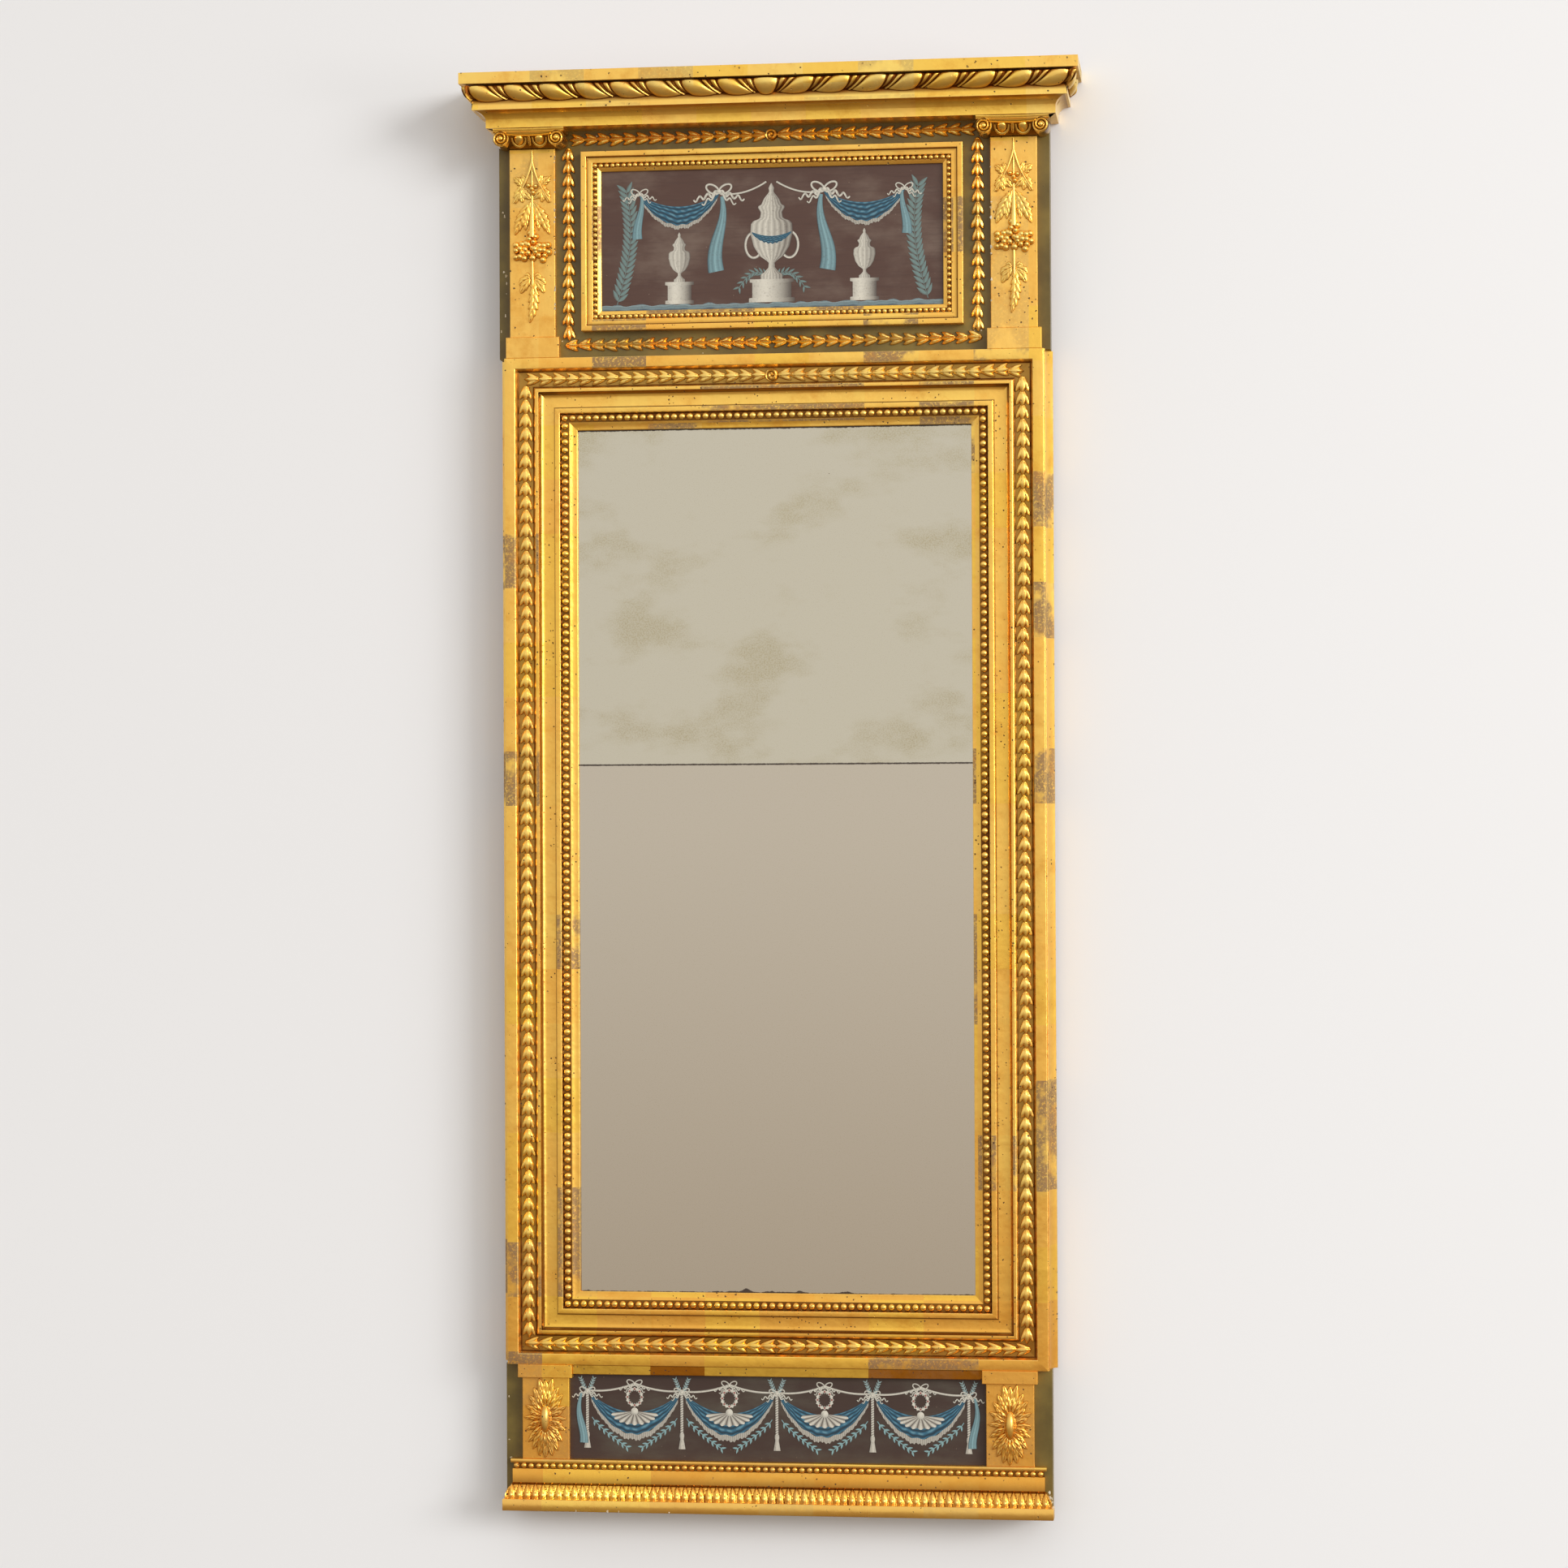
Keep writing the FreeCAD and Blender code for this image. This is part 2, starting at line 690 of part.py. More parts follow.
def capital(label, across, bottom):
    """Ionic capital: echinus between two volutes, under a hollow-fronted abacus."""
    body = new_body(label)
    zero = Size.of(0)
    width, relief = half(dim("capital_width")), dim("cornice_projection") + dim("abacus_proud")
    volute_relief = relief - dim("volute_setback")
    echinus_relief = relief - dim("echinus_setback")
    radius = dim("volute_radius")
    volute_at = width - radius
    head = dim("capital_height") - dim("abacus_height")
    echinus = [
        (zero, zero),
        (-(echinus_relief - dim("echinus_spread")), zero, dim("echinus_round"), -1),
        (-echinus_relief, head),
        (zero, head),
    ]
    pad(body, "YZ_Plane", [echinus], volute_at * 2, symmetric=True)
    pad(body, "XZ_Plane", [Disc(-volute_at, radius, radius)], volute_relief)
    pad(body, "XZ_Plane", [Disc(volute_at, radius, radius)], volute_relief)
    bolster = rectangle(-volute_at, head - half(dim("abacus_height")), volute_at, head)
    pad(body, "XZ_Plane", [bolster], volute_relief)
    hollow_round = bow_radius(dim("capital_width"), dim("abacus_hollow"))
    plan = [(-width, zero), (-width, -relief, hollow_round, 1), (width, -relief), (width, zero)]
    pad(body, "XY_Plane", [plan], dim("abacus_height"), offset=head)
    lip_back = dim("cornice_projection") + dim("abacus_lip_clearance")
    lip_end = dim("volute_radius")
    for side in (-1, 1):
        corner = rectangle(width * side, -relief, (width - lip_end) * side, -lip_back)
        pad(body, "XY_Plane", [corner], dim("abacus_lip_height"), offset=dim("capital_height"))

    channel = new_sketch(body, "XZ_Plane", volute_relief)
    for side in (-1, 1):
        for ring in ("volute_channel_inner", "volute_channel_outer"):
            add_disc(channel, Disc(volute_at * side, radius, dim(ring)))
    groove = body.newObject("PartDesign::Pocket", f"{label}_channel")
    groove.Profile = (channel, [""])
    groove.SideType = "One side"
    groove.Length = dim("volute_channel_depth").value
    groove.setExpression("Length", dim("volute_channel_depth").text)
    place(body, across, board_front, bottom)
    return body


def leaf(foot, tip, radius):
    """A pointed leaf: two equal arcs from its foot to its tip."""
    return [(*foot, radius, -1), (*tip, radius, -1)]


def vine_drop(label, across, top, length):
    """Carved drop of vine: a stem with two pairs of leaves, a bunch of grapes and a tail of leaves."""
    body = new_body(label)
    width, stem = dim("upper_shaft_width"), half(dim("drop_stem_width"))

    def spot(share_across, share_down):
        return (width * share_across, length * -share_down)

    def bow(share_of_width, share_of_length):
        return width * share_of_width + length * share_of_length

    pad(body, "XZ_Plane", [rectangle(-stem, -length, stem, wall)], dim("drop_relief"))
    for side in (-1, 1):
        for foot, tip, radius in (
            (spot(0.0, 0.097), spot(0.444 * side, 0.306), bow(0.29, 0.127)),
            (spot(0.0, 0.282), spot(0.426 * side, 0.490), bow(0.29, 0.127)),
            (spot(0.0, 0.704), spot(0.278 * side, 0.806), bow(0.13, 0.040)),
        ):
            pad(body, "XZ_Plane", [leaf(foot, tip, radius)], dim("drop_relief"))
    tail = leaf(spot(0.0, 0.801), spot(0.0, 1.0), length * 0.149)
    pad(body, "XZ_Plane", [tail], dim("drop_relief"))
    bunch = [
        (*spot(-0.426, 0.573), bow(0.215, 0.049), -1),
        (*spot(0.0, 0.670), bow(0.215, 0.049), -1),
        (*spot(0.426, 0.573), width * 0.48, -1),
    ]
    pad(body, "XZ_Plane", [bunch], dim("drop_cluster_relief"))
    place(body, across, board_front + dim("upper_shaft_relief"), top)
    return body


def rosette(label, across, middle, room):
    """Long oval flower: round-ended petals between notches on an ellipse, and an oval boss."""
    body = new_body(label)
    width = dim("lower_shaft_width") - dim("rosette_side_margin") * 2
    height = room - dim("rosette_end_margin") * 2
    wide, tall, petal_round = width * 0.44, height * 0.485, height * 0.085
    corners = []
    for number in range(ROSETTE_PETALS):
        angle = 2 * math.pi * number / ROSETTE_PETALS
        corners.append((wide * math.cos(angle), tall * math.sin(angle), petal_round, -1))
    pad(body, "XZ_Plane", [corners], dim("rosette_relief"))
    boss_half, boss_rise = half(dim("rosette_boss_width")), half(dim("rosette_boss_height"))
    straight = boss_rise - boss_half
    boss = rectangle(-boss_half, -straight, boss_half, straight)
    pad(body, "XZ_Plane", [boss], dim("rosette_boss_relief"))
    for end in (-straight, straight):
        pad(body, "XZ_Plane", [Disc(wall, end, boss_half)], dim("rosette_boss_relief"))
    place(body, across, board_front + dim("lower_shaft_relief"), middle)
    return body


def picture_profile():
    """Section of the upper picture's frame, from its outer edge to the picture."""
    front = board_front + dim("picture_member_relief")

    def at(below_front, from_edge):
        return (-(front - below_front), -from_edge)

    flat, width = Size.of(0), dim("picture_member_width")
    fillet = dim("picture_fillet_width")
    channel = dim("picture_bead_offset") - half(dim("picture_bead_diameter"))
    channel_end = dim("picture_bead_offset") + half(dim("picture_bead_diameter"))
    lip_back = dim("picture_sight_depth") + dim("picture_lip_thickness")
    rebate = width - dim("picture_rebate_width")
    return [
        at(dim("picture_member_relief"), flat),
        at(flat, flat),
        at(flat, fillet),
        at(dim("picture_field_depth"), fillet + dim("edge_easing")),
        at(dim("picture_field_depth"), channel - dim("edge_easing")),
        at(dim("picture_bead_depth"), channel),
        at(dim("picture_bead_depth"), channel_end),
        at(dim("picture_sight_depth"), width),
        at(lip_back, width),
        at(lip_back, rebate),
        at(dim("picture_member_relief"), rebate),
    ]


def build_upper_panel():
    """Pilasters, picture, picture frame and garland on the green panel under the cornice."""
    pilaster_at = upper_half - dim("upper_pilaster_inset")
    shaft_foot = frame_top + dim("plinth_height")
    capital_foot = cornice_bottom - dim("capital_height")
    shaft_height = capital_foot - shaft_foot
    for name, side in (("left", -1), ("right", 1)):
        across = pilaster_at * side
        eased_block(f"plinth_{name}", dim("plinth_width"), dim("plinth_relief"), dim("plinth_height"), across, frame_top)
        eased_block(
            f"pilaster_upper_{name}",
            dim("upper_shaft_width"),
            dim("upper_shaft_relief"),
            shaft_height,
            across,
            shaft_foot,
        )
        capital(f"capital_{name}", across, capital_foot)
        drop_length = shaft_height - dim("drop_top_gap") - dim("drop_foot_gap")
        vine_drop(f"vine_drop_{name}", across, capital_foot - dim("drop_top_gap"), drop_length)

    outer_half = upper_half - dim("picture_frame_side")
    bottom = frame_top + dim("picture_frame_below")
    top = cornice_bottom - dim("picture_frame_above")
    width = dim("picture_member_width")
    frame_of_four("picture_frame", picture_profile(), outer_half, bottom, top, width)

    bead = dim("picture_bead_diameter")
    bead_depth = board_front + dim("picture_member_relief") - dim("picture_bead_depth")
    strips_round(
        "picture_bead",
        half_round(bead, bead * BEAD_STANDING),
        outer_half - dim("picture_bead_offset"),
        bottom + dim("picture_bead_offset"),
        top - dim("picture_bead_offset"),
        bead_depth,
        bead,
    )

    lip_back = dim("picture_sight_depth") + dim("picture_lip_thickness")
    panel_thickness = dim("picture_member_relief") - lip_back
    inset = width - dim("picture_rebate_width") + dim("picture_clearance")
    panel_half = outer_half - inset
    panel_height = top - bottom - inset * 2
    slab(
        "painted_panel_upper", -panel_half, board_front, bottom + inset, panel_half * 2, panel_thickness, panel_height
    )

    run_half = outer_half + dim("garland_offset")
    garland_foot = bottom - dim("garland_lower_offset")
    garland_head = top + dim("garland_upper_offset")
    arch = half_round(dim("garland_width"), dim("garland_height"))
    gap = dim("garland_corner_gap")
    column_foot = garland_foot + half(dim("garland_width"))
    column_head = capital_foot - gap
    column_middle = half(column_foot + column_head)
    top_half = pilaster_at - half(dim("capital_width")) - gap
    zero = Size.of(0)
    strip("garland_top", arch, top_half * 2, 0, zero, board_front, garland_head)
    strip("garland_bottom", arch, run_half * 2 + dim("garland_width"), 0, zero, board_front, garland_foot)
    strip("garland_left", arch, column_head - column_foot, 90, -run_half, board_front, column_middle)
    strip("garland_right", arch, column_head - column_foot, 90, run_half, board_front, column_middle)


def build_lower_panel():
    """Short pilasters with rosettes, the rail between them and the long picture."""
    pilaster_at = lower_half - dim("lower_pilaster_inset")
    impost_foot = frame_bottom - dim("impost_height")
    for name, side in (("left", -1), ("right", 1)):
        across = pilaster_at * side
        eased_block(
            f"impost_{name}", dim("impost_width"), dim("impost_relief"), dim("impost_height"), across, impost_foot
        )
        eased_block(
            f"pilaster_lower_{name}",
            dim("lower_shaft_width"),
            dim("lower_shaft_relief"),
            impost_foot - base_top,
            across,
            base_top,
        )
        rosette(f"rosette_{name}", across, half(impost_foot + base_top), impost_foot - base_top)

    rail_half = pilaster_at - half(dim("impost_width"))
    rail_foot = frame_bottom - dim("rail_height")
    zero = Size.of(0)
    eased_block("panel_rail", rail_half * 2, dim("rail_relief"), dim("rail_height"), zero, rail_foot)
    panel_half = pilaster_at - half(dim("lower_shaft_width"))
    shoulder = impost_foot - base_top
    head = rail_foot - base_top
    outline = [
        (-panel_half, wall),
        (panel_half, wall),
        (panel_half, shoulder),
        (rail_half, shoulder),
        (rail_half, head),
        (-rail_half, head),
        (-rail_half, shoulder),
        (-panel_half, shoulder),
    ]
    panel = new_body("painted_panel_lower")
    pad(panel, "XZ_Plane", [outline], dim("lower_picture_thickness"))
    place(panel, zero, board_front, base_top)


def base_section(back, reach_of):
    """Base section as (reach, height) corners; reach_of turns a relief into a reach."""
    return [
        (back, wall),
        (reach_of("base_relief"), wall),
        (reach_of("base_relief"), dim("base_fillet_height")),
        (reach_of("leaf_band_foot"), dim("base_fillet_height"), dim("leaf_band_round"), -1),
        (reach_of("leaf_band_head"), frieze_foot),
        (reach_of("frieze_relief"), frieze_foot),
        (reach_of("frieze_relief"), frieze_head),
        (reach_of("base_bead_relief"), frieze_head),
        (reach_of("base_bead_relief"), bead_head),
        (reach_of("base_top_relief"), bead_head),
        (reach_of("base_top_relief"), base_top),
        (back, base_top),
    ]


def build_base():
    """Base moulding with short mitred returns that die into the panel, and its bead strip."""
    end_half = lower_half + dim("base_overhang")
    front = mirrored(base_section(board_front, lambda relief: board_front + dim(relief)))
    body = new_body("base_moulding")
    pad(body, "YZ_Plane", [front], end_half * 2, symmetric=True)
    far = end_half + OVERCUT
    side = base_section(far, lambda relief: end_half - dim("base_relief") + dim(relief))
    cut_through(body, "XZ_Plane", [side, mirrored(side)])
    place(body, Size.of(0), wall, wall)

    bead = dim("base_bead_diameter")
    run = (end_half - dim("base_relief") + dim("base_bead_relief")) * 2
    arch = half_round(bead, bead * BEAD_STANDING)
    depth = board_front + dim("base_bead_relief")
    strip("base_bead_strip", arch, run, 0, Size.of(0), depth, half(frieze_head + bead_head))


def check_document():
    """Stops if any feature failed or any piece has no sound solid."""
    for item in doc.Objects:
        if "Invalid" in item.State or "Error" in item.State:
            raise RuntimeError(f"{item.Label} did not build: {item.State}")
    for piece in sub_parts:
        shape = piece.Shape
        if shape.isNull() or not shape.isValid() or not shape.Solids or shape.Volume <= 0:
            raise RuntimeError(f"{piece.Label} has no sound solid")


build_carcase()
build_glazed_frame()
build_cornice()
build_upper_panel()
build_lower_panel()
build_base()
doc.recompute()
check_document()

os.makedirs("parts", exist_ok=True)
for piece in sub_parts:
    piece.Shape.exportStep(f"parts/{piece.Label}.step")
    print(f"{piece.Label}: {len(piece.Shape.Solids)} solid, {piece.Shape.Volume / 1000:.1f} cm3")
print(f"{len(sub_parts)} pieces")
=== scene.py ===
"""Looks of a gilded trumeau mirror: carving, gilding, paint, old mirror glass and bare pine.

Lengths in the classes are millimetres. A point is written (across, depth, height): across is
measured from the middle, depth from the wall into the room and height from the underside of
the base. place_points() turns that into metres in the part's frame, whose origin is the eye
that the mirror hangs by.
"""

import logging
import math
from dataclasses import dataclass, field
from enum import Enum
from functools import cached_property
from typing import Any

import bpy
import numpy as np
from mathutils import Matrix, Vector


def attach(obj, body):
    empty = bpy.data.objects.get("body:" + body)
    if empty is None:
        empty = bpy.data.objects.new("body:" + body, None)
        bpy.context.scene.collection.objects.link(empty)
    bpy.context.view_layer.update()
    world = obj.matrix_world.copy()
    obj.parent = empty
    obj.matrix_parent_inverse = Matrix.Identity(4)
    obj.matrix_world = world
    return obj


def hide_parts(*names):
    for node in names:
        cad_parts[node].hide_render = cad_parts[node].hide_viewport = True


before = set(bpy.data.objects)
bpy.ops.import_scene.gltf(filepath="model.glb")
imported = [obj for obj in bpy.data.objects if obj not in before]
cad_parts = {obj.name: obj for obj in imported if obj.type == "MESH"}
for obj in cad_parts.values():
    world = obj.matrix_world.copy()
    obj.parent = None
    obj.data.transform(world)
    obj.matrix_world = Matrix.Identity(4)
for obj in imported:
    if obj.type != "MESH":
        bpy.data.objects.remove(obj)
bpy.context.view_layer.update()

logging.basicConfig(level=logging.INFO, format="%(message)s")
log = logging.getLogger("trumeau")

Array = np.ndarray
Colour = tuple[float, float, float]
Spot = tuple[float, float]
Material = bpy.types.Material
Socket = bpy.types.NodeSocket
MM = 0.001
EYE_HEIGHT = 1620.0
BOARD_FRONT = 36.0
FRAME_FRONT = 37.0
TURN = 2.0 * math.pi
SHARP_TURN = math.radians(48.0)
SOFT_TURN = math.radians(15.0)


class Slot(Enum):
    """Names of three material slots."""

    GILDING = "gilding"
    PICTURE = "painted_picture"
    IRON = "iron"


def srgb(red: float, green: float, blue: float) -> Colour:
    """Turns a colour as it is seen on a screen, 0 to 255, into linear light.

    Args:
        red: Red share.
        green: Green share.
        blue: Blue share.

    Returns:
        The three linear shares, 0 to 1.
    """
    shares = np.array([red, green, blue]) / 255.0
    linear = np.where(shares <= 0.04045, shares / 12.92, ((shares + 0.055) / 1.055) ** 2.4)
    return tuple(float(share) for share in linear)


def place_points(points: Array) -> Array:
    """Turns (across, depth, height) in millimetres into metres in the part's frame.

    Args:
        points: Rows of three numbers.

    Returns:
        Rows of x, y, z in metres.
    """
    return np.stack([points[..., 0], -points[..., 1], points[..., 2] - EYE_HEIGHT], axis=-1) * MM


# ---- Surfaces -------------------------------------------------------------------------------


def column(count: int, low: float = 0.0, high: float = 1.0) -> Array:
    """Even steps from low to high, one in each row."""
    return np.linspace(low, high, count)[:, None]


def circle(count: int) -> Array:
    """Even angles round a circle, side by side in one row."""
    return np.linspace(0.0, TURN, count, endpoint=False)[None, :]


def points_of(*axes: Any) -> Array:
    """Points from their coordinates, which are first spread to one shape."""
    return np.stack(np.broadcast_arrays(*axes), -1)


def half_round(value: Array) -> Array:
    """Height of half a circle of radius 1 over places across it, and 0 outside."""
    return np.sqrt(np.clip(1.0 - value**2, 0.0, 1.0))


@dataclass
class Form:
    """Points, faces and a relief value per point: 0 in a hollow, 0.5 on a flat, 1 on a crest; it sets painted shade and
    highlight.
    """

    points: Array
    faces: list[Array]
    relief: Array
    smooth: list[bool]

    def moved(self, across: float, depth: float, height: float) -> "Form":
        """A copy moved by this much."""
        return Form(self.points + np.array([across, depth, height]), self.faces, self.relief, self.smooth)

    def mirrored(self) -> "Form":
        """A copy with left and right exchanged, its faces turned back outwards."""
        flipped = [block[:, ::-1] for block in self.faces]
        return Form(self.points * np.array([-1.0, 1.0, 1.0]), flipped, self.relief, self.smooth)


def joined(forms: list[Form]) -> Form:
    """Puts forms together as one, each still closed by itself.

    Args:
        forms: The forms to gather.

    Returns:
        One form.
    """
    offsets = np.cumsum([0] + [len(form.points) for form in forms])
    faces = [block + start for form, start in zip(forms, offsets) for block in form.faces]
    smooth = [flag for form in forms for flag in form.smooth]
    points = np.concatenate([form.points for form in forms])
    return Form(points, faces, np.concatenate([form.relief for form in forms]), smooth)


def signed_volume(points: Array, faces: list[Array]) -> float:
    """Volume inside faces: a sixth of the summed triple products of their fans of triangles.

    Args:
        points: The corner points.
        faces: Blocks of corner numbers.

    Returns:
        The volume, negative where the faces point inwards.
    """
    total = 0.0
    for block in faces:
        for step in range(1, block.shape[1] - 1):
            side = np.cross(points[block[:, step]], points[block[:, step + 1]])
            total += float(np.sum(points[block[:, 0]] * side))
    return total / 6.0


def loft(sections: Array, relief: Array | float = 0.5, poles: tuple[bool, bool] = (False, False)) -> Form:
    """Closed surface over closed sections: each section's points join round and to the next one's.

    Args:
        sections: Sections, points and coordinates, (m, n, 3).
        relief: A value for each point, or anything that spreads to (m, n).
        poles: Whether the first and the last section are drawn together to one point. Otherwise
            they are closed by a flat face.

    Returns:
        The form, its faces outward once it is placed.
    """
    values = np.broadcast_to(np.asarray(relief, float), sections.shape[:2])
    kept = slice(int(poles[0]), len(sections) - int(poles[1]))
    rows, around = sections[kept].shape[:2]
    row, place = np.meshgrid(np.arange(rows - 1), np.arange(around), indexing="ij")
    low, after = row * around, (place + 1) % around
    high = low + around
    quads = np.stack([low + place, low + after, high + after, high + place], -1).reshape(-1, 4)
    points, tones = [sections[kept].reshape(-1, 3)], [values[kept].reshape(-1)]
    faces, smooth = [quads], [True]
    count = rows * around
    for pole, end, start, turned in ((poles[0], 0, 0, True), (poles[1], -1, count - around, False)):
        loop = np.arange(around) + start
        if pole:
            points.append(sections[end].mean(axis=0, keepdims=True))
            tones.append(values[end][:1])
            cap = np.stack([loop, np.roll(loop, -1), np.full(around, count)], -1)
            cap = cap[:, ::-1] if turned else cap
            count += 1
        else:
            cap = (loop[::-1] if turned else loop)[None, :]
        faces.append(cap)
        smooth.append(pole)
    all_points = np.concatenate(points)
    if signed_volume(all_points, faces) > 0:
        faces = [block[:, ::-1] for block in faces]
    return Form(all_points, faces, np.concatenate(tones), smooth)


def repeated(unit: Form, spots: Array, angles: Array, scales: Array) -> Form:
    """Copies of a unit drawn along +across, each turned in the wall's plane, scaled and moved.

    Args:
        unit: The form to copy.
        spots: Where each copy's origin goes, (n, 3).
        angles: Turn of each copy, anticlockwise as seen from the room, in radians.
        scales: Size of each copy.

    Returns:
        One form with every copy.
    """
    cosine, sine = (np.cos(angles) * scales)[:, None], (np.sin(angles) * scales)[:, None]
    across, depth, height = unit.points.T
    turned = points_of(cosine * across - sine * height, scales[:, None] * depth, sine * across + cosine * height)
    points = (turned + spots[:, None, :]).reshape(-1, 3)
    starts = np.arange(len(spots)) * len(unit.points)
    faces = [(block[None] + starts[:, None, None]).reshape(-1, block.shape[1]) for block in unit.faces]
    return Form(points, faces, np.tile(unit.relief, len(spots)), unit.smooth)


def arc(start: Spot, end: Spot, radius: float, steps: int = 10) -> Array:
    """Points of the short arc from start to end; a positive radius bows it to the left of the way.

    Args:
        start: First point.
        end: Last point.
        radius: Radius, negative to bow to the right.
        steps: Number of chords.

    Returns:
        The points without the last one, (steps, 2).
    """
    first, last = np.array(start, float), np.array(end, float)
    length = float(np.hypot(*(last - first)))
    way = (last - first) / length
    left = np.array([-way[1], way[0]]) * math.copysign(1.0, radius)
    size = abs(radius)
    angle = column(steps + 1, -1.0, 1.0)[:-1] * math.asin(min(1.0, length / 2.0 / size))
    rise = size * np.cos(angle) - math.sqrt(max(size * size - length * length / 4.0, 0.0))
    return (first + last) / 2.0 + size * np.sin(angle) * way + rise * left


def eased(profile: Array, radius: float, steps: int = 3) -> tuple[Array, Array]:
    """Rounds the corners of a closed outline: each sharp corner becomes a curve between two points.

    The curve is a quadratic one, from the point this far before the corner to the point this far
    after it, drawn towards the corner. Inward corners get a wider curve. A slight turn is left.

    Args:
        profile: Corners in order, (n, 2).
        radius: How far from the corner the curve starts.
        steps: Chords in each curve.

    Returns:
        The new outline, and its relief: high on outward corners, for a painted highlight, and low in inward ones, for
            painted shade.
    """
    following = np.roll(profile, -1, axis=0)
    before, after = np.roll(profile, 1, axis=0) - profile, following - profile
    turning = float(np.sum(profile[:, 0] * following[:, 1] - profile[:, 1] * following[:, 0]))
    points, relief = [], []
    share = column(steps + 1)
    for corner, back, on in zip(profile, before, after):
        lengths = float(np.hypot(*back)), float(np.hypot(*on))
        cross = float(back[0] * on[1] - back[1] * on[0])
        if math.pi - abs(math.atan2(cross, float(back @ on))) < SOFT_TURN:
            points.append(corner[None])
            relief.append(np.array([0.5]))
            continue
        outward = cross * turning < 0
        cut = min(radius if outward else radius * 1.7, lengths[0] * 0.4, lengths[1] * 0.4)
        first, last = corner + back / lengths[0] * cut, corner + on / lengths[1] * cut
        points.append((1 - share) ** 2 * first + 2 * share * (1 - share) * corner + share**2 * last)
        # Painted highlight on outward corners, painted shade in inward ones.
        tones = np.full(steps + 1, 0.95 if outward else 0.0)
        tones[[0, -1]] = 0.6 if outward else 0.24
        relief.append(tones)
    return np.concatenate(points), np.concatenate(relief)


def make_piece(name: str, form: Form, material: Material, nodes: tuple[str, ...] = ()) -> Any:
    """Makes a mesh object of a form, dresses it and hands it to the frame.

    Args:
        name: The object's name.
        form: Its surface.
        material: Its finish.
        nodes: CAD nodes that it stands for.

    Returns:
        The object.
    """
    mesh = bpy.data.meshes.new(name)
    corners = np.concatenate([block.ravel() for block in form.faces]).astype(np.int32)
    totals = np.concatenate([np.full(len(block), block.shape[1]) for block in form.faces])
    starts = np.concatenate([[0], np.cumsum(totals)[:-1]]).astype(np.int32)
    flags = np.concatenate([np.full(len(block), flag) for block, flag in zip(form.faces, form.smooth)])
    mesh.vertices.add(len(form.points))
    mesh.vertices.foreach_set("co", place_points(form.points).astype(np.float32).ravel())
    mesh.loops.add(len(corners))
    mesh.loops.foreach_set("vertex_index", corners)
    mesh.polygons.add(len(totals))
    mesh.polygons.foreach_set("loop_start", starts)
    mesh.polygons.foreach_set("use_smooth", flags)
    mesh.update(calc_edges=True)
    mesh.set_sharp_from_angle(angle=SHARP_TURN)
    mesh.attributes.new("relief", "FLOAT", "POINT").data.foreach_set("value", form.relief.astype(np.float32))
    mesh.materials.append(material)
    piece = bpy.data.objects.new(name, mesh)
    bpy.context.scene.collection.objects.link(piece)
    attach(piece, "root")
    if nodes:
        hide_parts(*nodes)
    log.info("%s: %d points, %d faces", name, len(form.points), len(totals))
    return piece


# ---- Finishes -------------------------------------------------------------------------------


class Value:
    """A number socket of a shader that takes arithmetic; each operation adds one Math node."""

    def __init__(self, shader: "Shader", socket: Socket) -> None:
        """Wraps one socket of a shader's tree."""
        self.shader, self.socket = shader, socket

    def __add__(self, other: Any) -> "Value":
        """Sum."""
        return self.shader.maths("ADD", self, other)

    def __sub__(self, other: Any) -> "Value":
        """Difference."""
        return self.shader.maths("SUBTRACT", self, other)

    def __rsub__(self, other: Any) -> "Value":
        """Difference, the other way round."""
        return self.shader.maths("SUBTRACT", other, self)

    def __mul__(self, other: Any) -> "Value":
        """Product."""
        return self.shader.maths("MULTIPLY", self, other)

    __radd__, __rmul__ = __add__, __mul__

    def __gt__(self, other: Any) -> "Value":
        """1 where this is the greater, else 0."""
        return self.shader.maths("GREATER_THAN", self, other)

    def __lt__(self, other: Any) -> "Value":
        """1 where this is the less, else 0."""
        return self.shader.maths("LESS_THAN", self, other)

    def magnitude(self) -> "Value":
        """The value without its sign."""
        return self.shader.maths("ABSOLUTE", self)

    def mapped(self, low: float, high: float, first: float, last: float, curve: str = "LINEAR") -> "Value":
        """The value carried over from the range low to high to the range first to last."""
        inputs = {0: self, 1: low, 2: high, 3: first, 4: last}
        node = self.shader.node("ShaderNodeMapRange", inputs, interpolation_type=curve, clamp=True)
        return Value(self.shader, node.outputs[0])

    def rise(self, low: float, high: float) -> "Value":
        """0 below low, 1 above high and a smooth slope between them, or falling if high is lower."""
        if low > high:
            return 1.0 - self.rise(high, low)
        return self.mapped(low, high, 0.0, 1.0, "SMOOTHSTEP")


